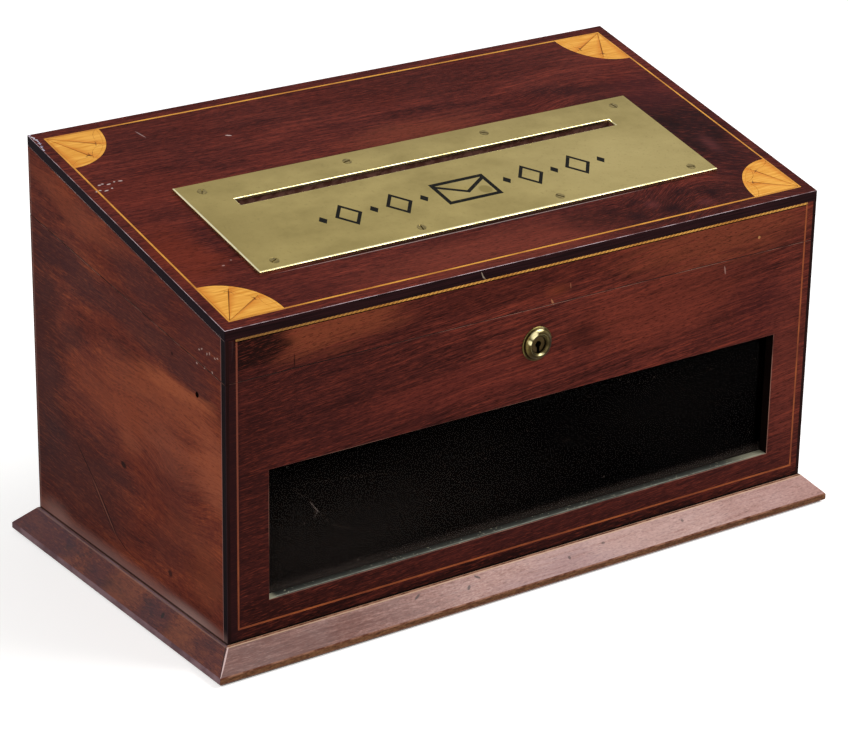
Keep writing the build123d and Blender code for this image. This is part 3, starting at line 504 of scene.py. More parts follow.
plinth_low, plinth_high = (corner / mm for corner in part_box("plinth_front"))
splay_low = max(v.co.z for v in nodes["plinth_front"].data.vertices if v.co.y / mm < plinth_low.y + near) / mm
splay_middle = (plinth_high.z + splay_low) / 2
splay_height = plinth_high.z - splay_low
mitre_across = plinth_high.y - plinth_low.y
mitre_reach = 0.6 * hypot(mitre_across, splay_height)
mitre_turn = atan2(splay_height, mitre_across) / radians(1)
moulding_grain = ((60, 14, 0.5), (16, 3, 0.3), (4, 0.9, 0.7), (1.6, 0.8, 0.8))
# pale pinkish tones and clouds over the red wood: the lamp's sheen painted on, darker at the left and
# lighter towards the middle and right; with old dents
front_moulding = mahogany(
    "mahogany with painted sheen, front splay", front_turn, ("#6e4238", "#93685d", "#b08a80"), seed=14.0,
    gloss=0.25, polish=0.42, layers=moulding_grain, pore_share=0.4, fibre_share=0.3,
    clouds=(
        Spot(-165, 8, 150, 40, 0.95, "#5a3026", crispness=1.0),
        Spot(60, 8, 160, 40, 0.55, "#bd9b93", crispness=1.0),
        Spot(170, 8, 80, 30, 0.45, "#a98079", crispness=1.0),
        Spot(20, 5, 60, 9, 0.3, "#80626c"),
    ),
    marks=(
        # painted highlights: a pale line along the top edge, and one down the mitre at the left corner
        Spot(0, plinth_high.z - 0.3, 420, 0.5, 0.55, "#c09c78", crispness=8),
        Spot(
            plinth_low.x + mitre_across / 2, splay_middle, mitre_reach, 0.45, 0.75, "#cdb0ac", turn=mitre_turn,
            crispness=4,
        ),
        Spot(-72, 12.4, 2.4, 0.5, 0.8, "#2a1613", turn=20),
        Spot(-35, 13.0, 2.0, 0.6, 0.8, "#2a1613", turn=-25),
        Spot(-42, 10.2, 1.6, 0.7, 0.8, "#2a1613", turn=30),
        Spot(21, 10.0, 1.0, 0.8, 0.7, "#2a1613"),
        Spot(44, 11.6, 1.4, 0.6, 0.6, "#2a1613"),
        Spot(96, 11.0, 1.0, 0.7, 0.6, "#2a1613"),
    ),
)
# brown wood with the polish worn off
front_fillet = mahogany(
    "worn mahogany, front edge of the plinth", front_turn, ("#43281a", "#63402a", "#80583a"), seed=15.0,
    gloss=0.05, polish=0.5, layers=moulding_grain, pore_share=0.4, fibre_share=0.3,
)
# polish that is still clear and glossy, in warm patches between purplish ones
side_moulding = mahogany(
    "glossy mahogany, side splay", side_turn, ("#331516", "#5c2a20", "#84482e"), seed=17.0,
    gloss=0.2, polish=0.42, layers=((26, 14, 0.9), (12, 5, 0.6), (4, 0.9, 0.6), (1.6, 0.9, 0.5)), pore_share=0.5,
    clouds=(
        Spot(-92, 8, 34, 34, 0.45, "#3e1c24", crispness=1.8),
        Spot(-35, 8, 16, 20, 0.5, "#3a1a26"),
        Spot(22, 8, 20, 24, 0.5, "#3a1a26"),
        Spot(80, 8, 44, 34, 0.7, "#3a1a26", crispness=1.8),
        Spot(-60, 7, 16, 12, 0.5, "#7e4630"),
        Spot(-5, 7, 18, 12, 0.5, "#7c4430"),
    ),
    marks=(
        Spot(-41, 10.5, 1.6, 1.1, 0.9, "#160a0a", turn=30),
        # a painted highlight along the top edge
        Spot(0, plinth_high.z - 0.3, 220, 0.5, 0.28, "#a98878", crispness=8),
        Spot(
            plinth_low.y + mitre_across / 2, splay_middle, mitre_reach, 0.5, 0.7, "#1c0c0d", turn=mitre_turn,
            crispness=4,
        ),
    ),
)
# arrises with their colour and polish rubbed off; the front splay's is also painted pale as the highlight it catches
side_fillet = two_toned("bruised mahogany, side edge of the plinth", ("#5c4246", "#7a6064"), (24, 24))
front_arris = two_toned("rubbed and highlighted arris of the front splay", ("#5c3424", "#8e6450"), (6, 6))
for side, outward, splay, fillet, arris in (
    ("front", Vector((0, -1, 0)), front_moulding, front_fillet, front_arris),
    ("back", Vector((0, 1, 0)), front_moulding, front_fillet, front_arris),
    ("left", Vector((-1, 0, 0)), side_moulding, side_fillet, side_fillet),
    ("right", Vector((1, 0, 0)), side_moulding, side_fillet, side_fillet),
):
    def fillet_or_splay(normal, middle):
        return 1 if normal.dot(outward) > 0.95 else 0

    def moulding_arris(one, other, middle):
        outer = all(normal.dot(outward) > -0.1 and normal.z > -square_on for normal in (one, other))
        if any(abs(normal.x * normal.y) > 0.1 for normal in (one, other)):
            # at a mitre only the corner of the fillet is worn
            upright = abs(one.z) + abs(other.z) < 0.1
            return 1.0 if outer and upright and middle.z < splay_low - near else 0.0
        return 1.0 if outer else 0.0

    dress("plinth_" + side, [splay, fillet], fillet_or_splay, 0.45, moulding_arris, arris)

# ---------------------------------------------------------------- walls of the case
# Four mahogany boards, mitred at the corners and glued to the base. The front one has the window
# opening, the keyhole and the lock's bed. Outside they are polished, inside they are painted nearly
# black as the shade of the shut box.
half_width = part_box("front_board")[1].x / mm + 0.8  # the corner strips lie outside the board
front_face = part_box("front_board")[0].y / mm
board_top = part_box("front_board")[1].z / mm
back_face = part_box("back_board")[1].y / mm
pane_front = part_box("window_glass")[0].y / mm
opening_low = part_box("glazing_bead_bottom")[1].z / mm
opening_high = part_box("glazing_bead_top")[0].z / mm
opening_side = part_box("glazing_bead_right")[0].x / mm

# polished by hand: deep red with darker clouds, nearly black at its left and along the plinth
front_clouds = (
    Spot(-135, 122, 110, 66, 0.60, "#341716"),
    Spot(-124, 165, 60, 16, 0.80, "#7c3e28"),
    Spot(-168, 164, 28, 14, 0.95, "#170b0a", crispness=2.4),
    Spot(-5, 165, 90, 14, 0.45, "#3d1813"),
    Spot(115, 163, 86, 20, 0.65, "#7a3c28"),
    Spot(-40, 118, 90, 12, 0.35, "#6a2c24"),
    Spot(80, 132, 80, 26, 0.50, "#763426"),
    Spot(150, 118, 40, 26, 0.40, "#41191a"),
    Spot(-166, 70, 28, 100, 0.70, "#2c1312"),
    Spot(167, 90, 20, 80, 0.35, "#6e3329"),
    Spot(0, 26, 340, 22, 0.65, "#331514"),
    Spot(-130, 26, 90, 16, 0.60, "#210d0b"),
    Spot(0, 15, 400, 8, 0.85, "#180a09"),
)
front_marks = (
    Spot(-178, 92, 8, 200, 0.85, "#241112", crispness=1.6),
    # a painted shadow: the dark line in the gap at the case's foot, along the plinth
    Spot(0, 15.3, 420, 0.9, 0.9, "#0a0505", crispness=8),
    Spot(28, 130, 17, 9, 0.65, "#1e0c0c", turn=8, crispness=1.0),
    Spot(36, 125, 20, 3, 0.60, "#1e0c0c", turn=4, crispness=1.0),
    Spot(120, 144.5, 0.6, 2.8, 0.55, "#a07a70", turn=12),
    Spot(9, 150.6, 0.6, 2.2, 0.6, "#b07a54", turn=28),
    Spot(12, 156, 12, 5, 0.4, "#7c3a22", crispness=1.0),
    Spot(20, 157, 0.4, 1.8, 0.5, "#9a6248", turn=8),
    Spot(142, 158, 1.0, 1.0, 0.6, "#c08a54"),
    Spot(-142, 153.5, 0.4, 4.0, 0.7, "#170908"),
    Spot(-100, 152.0, 40, 0.4, 0.5, "#1c0b0a", turn=3, crispness=6),
)
front_mahogany = mahogany(
    "polished mahogany, front", front_turn, ("#29110f", "#4f221d", "#7d3628"), slant=5.0, seed=2.0,
    clouds=front_clouds, marks=front_marks, pore_share=0.75, fibre_share=0.50, tremor=0.15,
    layers=((110, 18, 0.45), (60, 2.4, 0.45), (50, 1.1, 0.65), (24, 0.6, 0.65), (9, 0.4, 0.55), (5, 12, 0.10)),
)

# The sides are more orange, with a knot and old marks on the left one. The dark strip at the front
# corner goes round 3.3 mm onto the side, with a pale line behind it: the corner arris's painted highlight.
strip_end = front_face + 3.3
strip_bands = ((front_face - 1, strip_end, "#0c0508", 1.0), (strip_end, strip_end + 0.45, "#82605a", 0.65))
side_tones = ("#371513", "#5f281c", "#8c4629")
side_grain = ((70, 16, 0.55), (30, 4.0, 0.30), (16, 1.2, 0.40), (4, 0.6, 0.45), (3, 9, 0.12))
side_clouds = (
    Spot(-30, 150, 80, 14, 0.70, "#371b1b", turn=7),
    Spot(55, 162, 70, 17, 0.75, "#32171a", turn=9),
    Spot(-20, 174, 60, 14, 0.65, "#3a1a1a", turn=9),
    Spot(-70, 166, 50, 26, 0.80, "#421b19", turn=9),
    Spot(50, 194, 60, 12, 0.50, "#80402a", turn=12),
    Spot(-50, 131, 46, 7, 0.85, "#944e30", turn=1),
    Spot(-35, 124, 80, 16, 0.60, "#84442c"),
    Spot(-82, 102, 30, 26, 0.80, "#8c4a32"),
    Spot(-30, 104, 60, 14, 0.50, "#80402a"),
    Spot(10, 105, 60, 20, 0.45, "#803f28"),
    Spot(0, 88, 20, 10, 0.60, "#82442e"),
    Spot(52, 122, 24, 9, 0.55, "#381816", turn=-40),
    Spot(-46, 79, 24, 18, 0.38, "#431d1a"),
    Spot(48, 48, 74, 50, 0.75, "#361817"),
    Spot(84, 100, 34, 110, 0.75, "#2e1314"),
    Spot(-60, 60, 40, 14, 0.35, "#6e3826"),
    Spot(-48, 94, 44, 18, 0.50, "#7c4230"),
    Spot(-74, 42, 26, 20, 0.45, "#743c26"),
    Spot(-45, 45, 40, 12, 0.45, "#4a2019"),
)
side_marks = [
    Spot(3.5, 73, 3.6, 2.2, 0.9, "#140706", turn=10, crispness=1.8),
    Spot(-40, 31.5, 2.6, 2.2, 0.8, "#200c0a", crispness=1.8),
    Spot(-45, 149, 1.2, 1.0, 0.8, "#1a0808"),
    # a pale band over the lowest 10 mm, with two patches in it: a painted reflection of the plinth
    Spot(0, 15.0, 170, 10, 0.62, "#84655f", crispness=1.1),
    Spot(-62, 16.0, 40, 7, 0.45, "#9a7f78", crispness=1.1),
    Spot(74, 18.0, 22, 12, 0.40, "#8a6a62", crispness=1.1),
    Spot(91.0, 90, 0.7, 160, 0.45, "#7c5c54"),
    # a painted shadow: the dark line in the gap at the case's foot, along the plinth
    Spot(0, 15.3, 220, 0.9, 0.8, "#100707", crispness=8),
]
# a crack in the lower back of the side: a dark line with a pale edge, and a second one below it
for x_one, y_one, x_two, y_two, width, strength, tone in (
    (51.5, 68, 30, 50, 0.55, 0.9, "#140706"),
    (30, 50, 12, 31, 0.65, 0.9, "#140706"),
    (12, 31, 2, 26.5, 0.5, 0.8, "#140706"),
    (37, 53, 14.5, 30.5, 0.45, 0.7, "#1c0a09"),
    (35, 53, 13.2, 31, 0.5, 0.45, "#8a5a48"),
    (2, 26.5, -12, 25, 0.4, 0.5, "#140706"),
):
    run, rise = x_one - x_two, y_one - y_two
    side_marks.append(Spot(
        (x_one + x_two) / 2, (y_one + y_two) / 2, 0.62 * hypot(run, rise), width, strength, tone,
        turn=atan2(rise, run) / radians(1), crispness=2.5,
    ))
# wax crumbs near the parting at the front
wax_crumbs = 9
for k in range(wax_crumbs):
    side_marks.append(Spot(-86 + 2.3 * k, 157.5 + 5.5 * sin(2.1 * k + 0.6), 0.9, 0.5, 0.55, "#b39a90", turn=25 * k))
left_mahogany = mahogany(
    "polished mahogany, left side", side_turn, side_tones, slant=3.0, seed=5.0, wander=9.0, clouds=side_clouds,
    marks=side_marks, pore_share=0.42, fibre_share=0.3, layers=side_grain, knot=Spot(-46, 79, 44, 34, 11),
    bands=strip_bands,
)
# the same pale band along the foot, a painted reflection of the plinth
foot_sheen_band = Spot(0, 15.0, 400, 9, 0.5, "#84655f", crispness=1.1)
# like the left side, but with other clouds and no knot
right_mahogany = mahogany(
    "polished mahogany, right side", side_turn, side_tones, slant=-2.0, seed=47.0, wander=9.0, pore_share=0.32,
    fibre_share=0.2, layers=side_grain, marks=(foot_sheen_band,), bands=strip_bands,
    clouds=(
        Spot(30, 150, 90, 22, 0.7, "#34171a", turn=9),
        Spot(-40, 60, 60, 30, 0.5, "#3c1818"),
        Spot(20, 110, 70, 16, 0.5, "#884628"),
        Spot(70, 50, 40, 40, 0.6, "#351616"),
    ),
)
# plainer wood where a wall hides it, with few clouds and no marks but the painted reflection along its foot
back_mahogany = mahogany(
    "plainly polished mahogany, back", front_turn, ("#2f1311", "#54251c", "#7e3c2a"), slant=2.0, seed=53.0,
    wander=8.0, pore_share=0.45, fibre_share=0.3, marks=(foot_sheen_band,),
    clouds=(
        Spot(-90, 120, 120, 30, 0.5, "#3a1716"),
        Spot(70, 70, 120, 36, 0.5, "#3a1716"),
        Spot(60, 140, 100, 20, 0.4, "#7c3c28"),
    ),
)
# edges rubbed pale by hands and painted paler as the highlights they catch, and the lid's lower edge
# at the parting darker
parting_arris = two_toned("rubbed and highlighted arris at the parting", ("#2c1512", "#7a584c"), (9, 9))
lid_edge_dark = two_toned("dark lower arris of the lid at the parting", ("#120908", "#200f0c"), (14, 14))
opening_arris = two_toned(
    "rubbed and highlighted arris of the opening", ("#4e2822", "#906658"), (30, 30),
    spots=(Spot(-130, 152, 120, 30, 1.0, "#220f0d"),),
)
# unpolished, and painted nearly black as the shade it lies in
window_reveal = mahogany(
    "plain mahogany, window reveal", front_turn, ("#060303", "#0b0605", "#140b09"), seed=31.0, gloss=0.01,
)

# putty, old varnish and house dust on the sill: darker towards the pane, with a pale line along it and pale at both
# ends
sill_dust, tree = new_finish("dusty putty on the sill")
face = face_space(tree, front_turn)
from_front = add_node(tree, "ShaderNodeSeparateXYZ", {"Vector": face_space(tree, (0, 0, 0))}).outputs["Y"]
colour = add_node(tree, "ShaderNodeValToRGB", {"Fac": share_of(tree, (from_front, front_face, pane_front, 0.0, 1.0))})
set_tones(colour, (
    (0.0, "#3b3a35"), (0.16, "#55564e"), (0.24, "#a3a395"), (0.32, "#55564e"), (0.55, "#3a3b37"), (1.0, "#181916"),
))
lumps = long_noise(tree, face, 9, 3, detail=4.0, roughness=0.65)
crumbs = long_noise(tree, face, 1.4, 1.4, seed=2.0)
colour = tinted(tree, colour, "#22221f", (lumps, 0.40, 0.66, 0.0, 0.6))
colour = tinted(tree, colour, "#b3ae98", (crumbs, 0.66, 0.72, 0.0, 0.7))
colour = lay_spots(tree, face, colour, (
    Spot(-opening_side + 1.5, opening_low, 5, 12, 0.9, "#a8a48c"),
    Spot(opening_side - 4, opening_low, 26, 12, 0.6, "#a8a48c"),
), 1.0)
surface_of(tree, {"Base Color": colour, "Roughness": 0.6, "Specular IOR Level": 0.1})


def in_opening(middle):
    return abs(middle.x) < opening_side + near and opening_low - near < middle.z < opening_high + near


def front_board_finish(normal, middle):
    if normal.y < -square_on and middle.y < front_face + near:
        return 0
    if in_opening(middle) and middle.y < pane_front and abs(normal.y) < 0.1:
        return 2 if normal.z > square_on else 1
    return 3


parting_zone = 2.5  # mm below the parting line


def front_board_arris(one, other, middle):
    if middle.y > front_face + near or min(one.y, other.y) > -square_on:
        return 0.0
    if in_opening(middle):
        return 1.0
    # the edge at the parting is rubbed half as much
    return 0.5 if middle.z > board_top - parting_zone else 0.0


dress(
    "front_board", [front_mahogany, window_reveal, sill_dust, inside_painted_shade], front_board_finish, 0.25,
    front_board_arris, opening_arris,
)


def outside(axis, place):
    """Finish 0 for the face that lies outermost along an axis, and 1 for the rest."""
    def finish_of(normal, middle):
        return 0 if abs(normal[axis]) > square_on and abs(abs(middle[axis]) - abs(place)) < near else 1
    return finish_of


def parting_edge(axis, place, upward):
    """Rounds a board's outer edge at the parting: its upper one where upward is 1, or a rim's lower one
    where it is -1."""
    def arris_of(one, other, middle):
        outer = abs(abs(middle[axis]) - abs(place)) < near
        return 1.0 if outer and max(upward * one.z, upward * other.z) > square_on else 0.0
    return arris_of


# a hole 3 mm wide near the front of the left side, where a nail was drawn
hole_radius = 1.5 * mm
hole_place = Vector((-half_width, -67.5, 136)) * mm
hole_form = bmesh.new()
bmesh.ops.create_cone(
    hole_form, cap_ends=True, segments=20, radius1=hole_radius, radius2=hole_radius, depth=12 * mm,
    matrix=Matrix.Translation(hole_place) @ Matrix.Rotation(radians(90), 4, "Y"),
)
hole_mesh = bpy.data.meshes.new("nail hole")
hole_form.to_mesh(hole_mesh)
hole_form.free()
hole_mesh.materials.append(inside_painted_shade)
nail_hole = bpy.data.objects.new("nail_hole", hole_mesh)
scene.collection.objects.link(nail_hole)
outer_walls = (
    ("left", 0, half_width, left_mahogany), ("right", 0, half_width, right_mahogany),
    ("back", 1, back_face, back_mahogany),
)
for side, axis, place, finish in outer_walls:
    dress(
        side + "_board", [finish, inside_painted_shade], outside(axis, place), 0.15, parting_edge(axis, place, 1),
        parting_arris, drill=nail_hole if side == "left" else None,
    )
bpy.data.objects.remove(nail_hole)

# ---------------------------------------------------------------- window
# One pane of old glass in a rebate behind the opening, held by four mitred beads. It mirrors
# little, because it is dusty and everything behind it is dark, and it has fine scratches.
pane, tree = new_finish("old window glass")
face = face_space(tree, front_turn)
dust = long_noise(tree, face, 5, 4, detail=5.0, roughness=0.7)
haze = long_noise(tree, face, 120, 60, detail=1.0)
height = add_node(tree, "ShaderNodeSeparateXYZ", {"Vector": face}).outputs["Y"]
scratches = [
    Spot(-118, 84, 24, 0.35, 0.07, turn=-6),
    Spot(-98, 81, 28, 0.35, 0.07, turn=-9),
    Spot(-127, 72, 5, 0.5, 0.34, turn=-55),
    Spot(-122, 66, 7, 0.4, 0.22, turn=-50),
    Spot(-126, 68, 3, 0.5, 0.34, turn=60),
    Spot(-108, 56, 12, 0.35, 0.12, turn=-24),
    Spot(-96, 51, 8, 0.35, 0.16, turn=-14),
    Spot(-50, 74, 14, 0.35, 0.08, turn=-58),
    Spot(-32, 56, 26, 0.35, 0.07, turn=-38),
    Spot(-134, 80, 9, 0.35, 0.12, turn=-40),
    Spot(88, 92, 34, 0.35, 0.05, turn=4),
    Spot(25, 70, 3, 0.5, 0.26, turn=12),
    Spot(-25, 76, 16, 0.35, 0.06, turn=8),
]
# specks of dust all over it
dust_specks = 26
for k in range(dust_specks):
    scratches.append(Spot(
        150 * sin(2.399 * k + 0.4), 67 + 30 * sin(4.1 * k + 1.3), 0.9, 0.7, 0.24 + 0.16 * sin(7.7 * k), turn=40 * k,
    ))
broken = share_of(tree, (dust, 0.42, 0.58, 0.1, 1.6))
veils = [
    share_of(tree, (haze, 0.35, 0.7, 0.0, 0.008)),
    spot_share(tree, face, Spot(-130, 48, 210, 60, 0.035), 1.0),
    # the lowest 6 mm of the pane veiled pale: a painted reflection of the sill in the glass
    share_of(tree, (height, opening_low, opening_low + 6, 0.16, 0.0, "SMOOTHSTEP")),
    *(spot_share(tree, face, scratch, 1.5, broken) for scratch in scratches),
]
clear = share_of(tree, (dust, 0.66, 0.80, 1.0, 0.75))
surface_of(tree, {
    "Base Color": srgb("#6e625c"),
    "Roughness": 0.02,
    "IOR": 1.05,
    "Transmission Weight": work_out(tree, clear, *(("SUBTRACT", veil) for veil in veils), ("MAXIMUM", 0.0)),
})
refinish(pane, "window_glass")
# painted shade, nearly black like the inside, with a little polish
bead_painted_shade = mahogany(
    "mahogany painted near black as shade, beads", front_turn, ("#0c0605", "#140a08", "#1e100c"), seed=25.0, gloss=0.01, polish=0.5,
)
refinish(bead_painted_shade, *["glazing_bead_" + side for side in ("top", "bottom", "left", "right")])

# ---------------------------------------------------------------- corner strips and stringing
# Ebonised strips down both front corners, and a boxwood line 1 mm wide let into the front and
# the top. Years of polish have turned the line orange on the front and gold on the top.
outer_edge = half_width - 0.4  # past the rounded arris, where the outer side of the strips shows
# wood stained black, a little browner where it is rosewood, and purplish on its outer faces at the sides, a painted
# sheen
ebonised = two_toned(
    "ebonised wood", ("#170b0c", "#291416"), (30, 0.8), (0.35, 0.65), 0.35, 0.012, detail=3.0, grit=0.5,
    outer=(outer_edge, "#12060d"), crispness=2.0, spots=(
        Spot(-34.2, 173.6, 0.4, 2.6, 0.6, "#a89884", turn=22), Spot(-33.2, 172.2, 0.3, 1.6, 0.6, "#a89884", turn=40),
    ),
)
# its outer side a little paler and purplish: a painted highlight
corner_strip = two_toned(
    "ebonised and rosewood strip", ("#160a0a", "#261210"), (0.6, 25), (0.3, 0.7), 0.35, 0.012, detail=3.0, grit=0.5,
    outer=(outer_edge, "#281a1e"),
)
refinish(corner_strip, "body_corner_strips", "lid_corner_strips")
# a pale close-grained wood under polish, toned in patches by old shellac
boxwood = {"patch": (22, 16), "span": (0.35, 0.65), "roughness": 0.4}
front_boxwood = two_toned(
    "boxwood line, front", ("#70351f", "#98502a"), **boxwood,
    spots=(Spot(-174, 130, 30, 130, 0.9, "#6a362a"),),
)
refinish(front_boxwood, "body_stringing", "lid_stringing")

# ---------------------------------------------------------------- lock
# A brass box lock in the front board, with its bolt, spring and screws, and a turned bezel round
# the keyhole. The bezel has highlights painted on its dome, painted dark reflections at its right
# and lower left, and is dark in its grooves.
# cast brass gone dull and brown, and steel tempered blue
lock_brass = metal("dull lock brass", ("#7c6a3a", "#a08c50"), 6.0, 0.38, tarnish="#4a3c22")
refinish(lock_brass, "lock_plate", "lock_cap", "key_pin", "lock_screws", "lock_bolt")
spring_steel = metal("blued spring steel", ("#3c4048", "#5a5f68"), 4.0, 0.3)
refinish(spring_steel, "bolt_spring")

bezel_low, bezel_high = (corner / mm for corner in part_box("key_bezel"))
bezel_centre = (bezel_low + bezel_high) / 2
bezel_radius = (bezel_high.x - bezel_low.x) / 2
bezel_brass, tree = new_finish("turned brass, bright dome and dark grooves")
face = face_space(tree, front_turn)
from_axis = add_node(tree, "ShaderNodeMapping", {
    "Vector": face, "Location": (-bezel_centre.x, -bezel_centre.z, 0), "Scale": (1, 1, 0),
})
radius = add_node(tree, "ShaderNodeVectorMath", {0: from_axis}, operation="LENGTH")
colour = add_node(tree, "ShaderNodeValToRGB", {"Fac": work_out(tree, radius, ("DIVIDE", bezel_radius))})
set_tones(colour, (
    (0.0, "#241b0b"), (0.42, "#3a2e1c"), (0.49, "#171106"), (0.54, "#4a3f24"), (0.60, "#8e8258"), (0.66, "#261d0d"),
    (0.74, "#463b20"), (0.84, "#6c5e36"), (0.92, "#2c2411"), (1.0, "#6f6238"),
))
specks = long_noise(tree, face, 1.5, 1.5, detail=3.0)
patina = long_noise(tree, face, 7, 5, detail=3.0, seed=6.0)
colour = tinted(tree, colour, "#41341a", (patina, 0.42, 0.62, 0.0, 0.55))
colour = tinted(tree, colour, "#2a200e", (specks, 0.5, 0.75, 0.0, 0.6))
# painted highlights at the upper left, and on the lip's lower edge
colour = lay_spots(tree, from_axis, colour, (
    Spot(-3.4, 5.6, 3.0, 1.8, 0.90, "#f0e4ae", turn=38),
    Spot(-6.0, 2.4, 1.3, 1.7, 0.90, "#f0e4ae", turn=15),
    Spot(0.6, 7.6, 4.0, 1.0, 0.45, "#f0e4ae"),
    Spot(1.2, -5.2, 2.2, 0.6, 0.60, "#f0e4ae", turn=8),
), 1.6)
# and painted dark reflections at its right and its lower left
colour = lay_spots(tree, from_axis, colour, (
    Spot(5.6, -2.0, 4.2, 7.5, 0.8, "#231b0d", turn=-12),
    Spot(-4.8, -5.4, 5.0, 3.4, 0.8, "#231b0d", turn=-40),
), 1.4)
surface_of(tree, {"Base Color": colour, "Metallic": 1.0, "Roughness": 0.34})
dress("key_bezel", [bezel_brass], lambda normal, middle: 0)

# ---------------------------------------------------------------- hinges and link plate
# Two brass butt hinges let into the back, and the plate under the lid's front edge whose staples
# drop into the lock. All are screwed, and dull from lying shut.
refinish(
    lock_brass, "hinge_body_leaf_left", "hinge_body_leaf_right", "hinge_body_screws", "hinge_pins",
    "hinge_lid_leaf_left", "hinge_lid_leaf_right", "hinge_lid_screws", "link_plate", "link_screws",
)

# ---------------------------------------------------------------- rims of the lid
# The upper part of the walls, sawn off with the lid once the box was glued up, so their grain runs
# on from the boards below. They are mitred, and glued to the panel of the lid.
for side, axis, place, finish in (("front", 1, front_face, front_mahogany), *outer_walls):
    dress(
        "lid_" + side + "_rim", [finish, inside_painted_shade], outside(axis, place), 0.2, parting_edge(axis, place, -1),
        lid_edge_dark,
    )

# ---------------------------------------------------------------- dark edging of the top
# Strips of ebonised wood round the panel of the lid, glued on and mitred at the corners. Their
# lower arris is rubbed pale and painted paler as the highlight it catches, but for the front one's.
edging_arris = two_toned("rubbed and highlighted arris of the edging", ("#8a7270", "#cbb8b8"), (20, 20))
for side, axis, place in (
    ("front", 1, front_face), ("back", 1, back_face), ("left", 0, half_width), ("right", 0, half_width),
):
    arris_of = None if side == "front" else parting_edge(axis, place, -1)
    dress("lid_edging_" + side, [ebonised], lambda normal, middle: 0, 0.3, arris_of, edging_arris)

# ---------------------------------------------------------------- veneer of the top
# Figured mahogany veneer with a dark crotch at the right, glued on the panel and polished. It is
# cut round the posting slot, where its wood is bare.
top_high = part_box("top_veneer")[1] / mm
front_top = max(v.co.z for v in nodes["top_veneer"].data.vertices if v.co.y / mm < front_face + near) / mm
top_slope = atan2(top_high.z - front_top, back_face - front_face)
top_normal = Vector((0, -sin(top_slope), cos(top_slope)))
top_turn = (-top_slope, 0, 0)
top_origin = front_face * cos(top_slope) + front_top * sin(top_slope)

# polished like the front, but browner and duller, with dark mottled blotches round its knot
top_clouds = (
    Spot(10, 126, 60, 16, 0.60, "#743828"),
    Spot(-20, 13, 110, 22, 0.60, "#703428"),
    Spot(-165, 62, 24, 44, 0.60, "#6e2c1c"),
    Spot(-150, 120, 50, 20, 0.30, "#6c2a1e"),
    Spot(-120, 168, 110, 20, 0.40, "#3c1816"),
    Spot(30, 165, 110, 16, 0.45, "#361310"),
    Spot(-140, 100, 60, 10, 0.40, "#3a1512"),
    Spot(152, 78, 34, 56, 0.92, "#1e0c0f", crispness=1.8),
    Spot(160, 40, 30, 40, 0.70, "#270f12"),
    Spot(130, 132, 70, 8, 0.75, "#2a0f10", turn=-8),
    Spot(150, 110, 50, 12, 0.55, "#2c1112", turn=-18),
    Spot(-150, 22, 60, 20, 0.45, "#3a1614"),
    Spot(110, 12, 90, 22, 0.72, "#2a1212", crispness=1.5),
    Spot(50, 18, 30, 12, 0.60, "#2e1311"),
    Spot(158, 120, 30, 26, 0.45, "#43171a"),
)
top_marks = [
    Spot(71, 13.7, 8, 6, 0.70, "#180a0e", crispness=1.0),
    Spot(78, 26, 6, 5, 0.55, "#180a0e", crispness=1.0),
    Spot(93, 12.5, 10, 7, 0.75, "#180a0e", crispness=1.0),
    Spot(108, 25, 8, 7, 0.50, "#180a0e", crispness=1.0),
    Spot(124, 18.5, 7, 8, 0.70, "#180a0e", crispness=1.0),
    Spot(60, 22, 9, 5, 0.40, "#180a0e", crispness=1.0),
    Spot(86, 20, 7, 6, 0.35, "#6a3434", crispness=1.0),
    Spot(115, 12, 9, 5, 0.35, "#6a3434", crispness=1.0),
    Spot(150, 86, 11, 16, 0.60, "#140809", turn=20, crispness=1.0),
    Spot(147, 60, 4, 16, 0.55, "#140809", turn=6, crispness=1.0),
    Spot(166, 66, 4, 22, 0.45, "#140809", turn=-8, crispness=1.0),
    Spot(156, 60, 6, 14, 0.45, "#5e3030", turn=-4, crispness=1.0),
    Spot(-126, 171, 0.5, 4.4, 0.5, "#a88c88", turn=15),
    Spot(-84, 155, 2.0, 0.6, 0.75, "#c8aca6", turn=-25),
    Spot(-151, 49, 1.0, 0.6, 0.45, "#b89890"),
    Spot(-145, 52, 0.7, 0.5, 0.40, "#b89890"),
]
# a painted shadow along the plate's front edge, and a pale hair line in front of it
top_marks += [
    Spot(0.8, 34.9, 142, 0.8, 0.85, "#170a0b", crispness=7),
    Spot(-20, 33.9, 120, 0.3, 0.45, "#b9a9a6", crispness=6),
]
# two rows of small scratches at the left, as a dragged corner leaves them
for row_s, first_x, count in ((134.5, -170, 5), (129.5, -174, 4)):
    for k in range(count):
        top_marks.append(Spot(
            first_x + 2.7 * k + 0.9 * sin(5.1 * k), row_s + 0.7 * sin(2.3 * k), 1.1 + 0.4 * sin(3.7 * k), 0.5, 0.75,
            "#cdb8b2", turn=12 * sin(4.3 * k),
        ))
# chips at the back left corner: dark flecks, and pale bluish ones painted as glints on the broken wood
chips = 22
chip_and_glint_tones = ("#cfc8d8", "#8d86a0", "#e4dfe2", "#3a2a33")
for k in range(chips):
    top_marks.append(Spot(
        -179.6 + 2.0 * abs(sin(3.3 * k)) * (0.3 + k / chips), 173.5 + 0.75 * k, 0.9 + 0.5 * sin(2.9 * k), 0.45, 0.85,
        chip_and_glint_tones[k % len(chip_and_glint_tones)], turn=37 * k,
    ))
top_mahogany = mahogany(
    "polished mahogany, top", top_turn, ("#2a0f0f", "#4d1f1b", "#783428"), origin=top_origin, slant=-1.0, seed=9.0,
    knot=Spot(128, 60, 64, 120, -25), clouds=top_clouds, marks=top_marks, tremor=0.2, pore_share=0.75,
    fibre_share=0.58, layers=((110, 18, 0.55), (70, 1.6, 0.45), (26, 0.7, 0.60), (7, 0.45, 0.60), (5, 12, 0.12)),
)
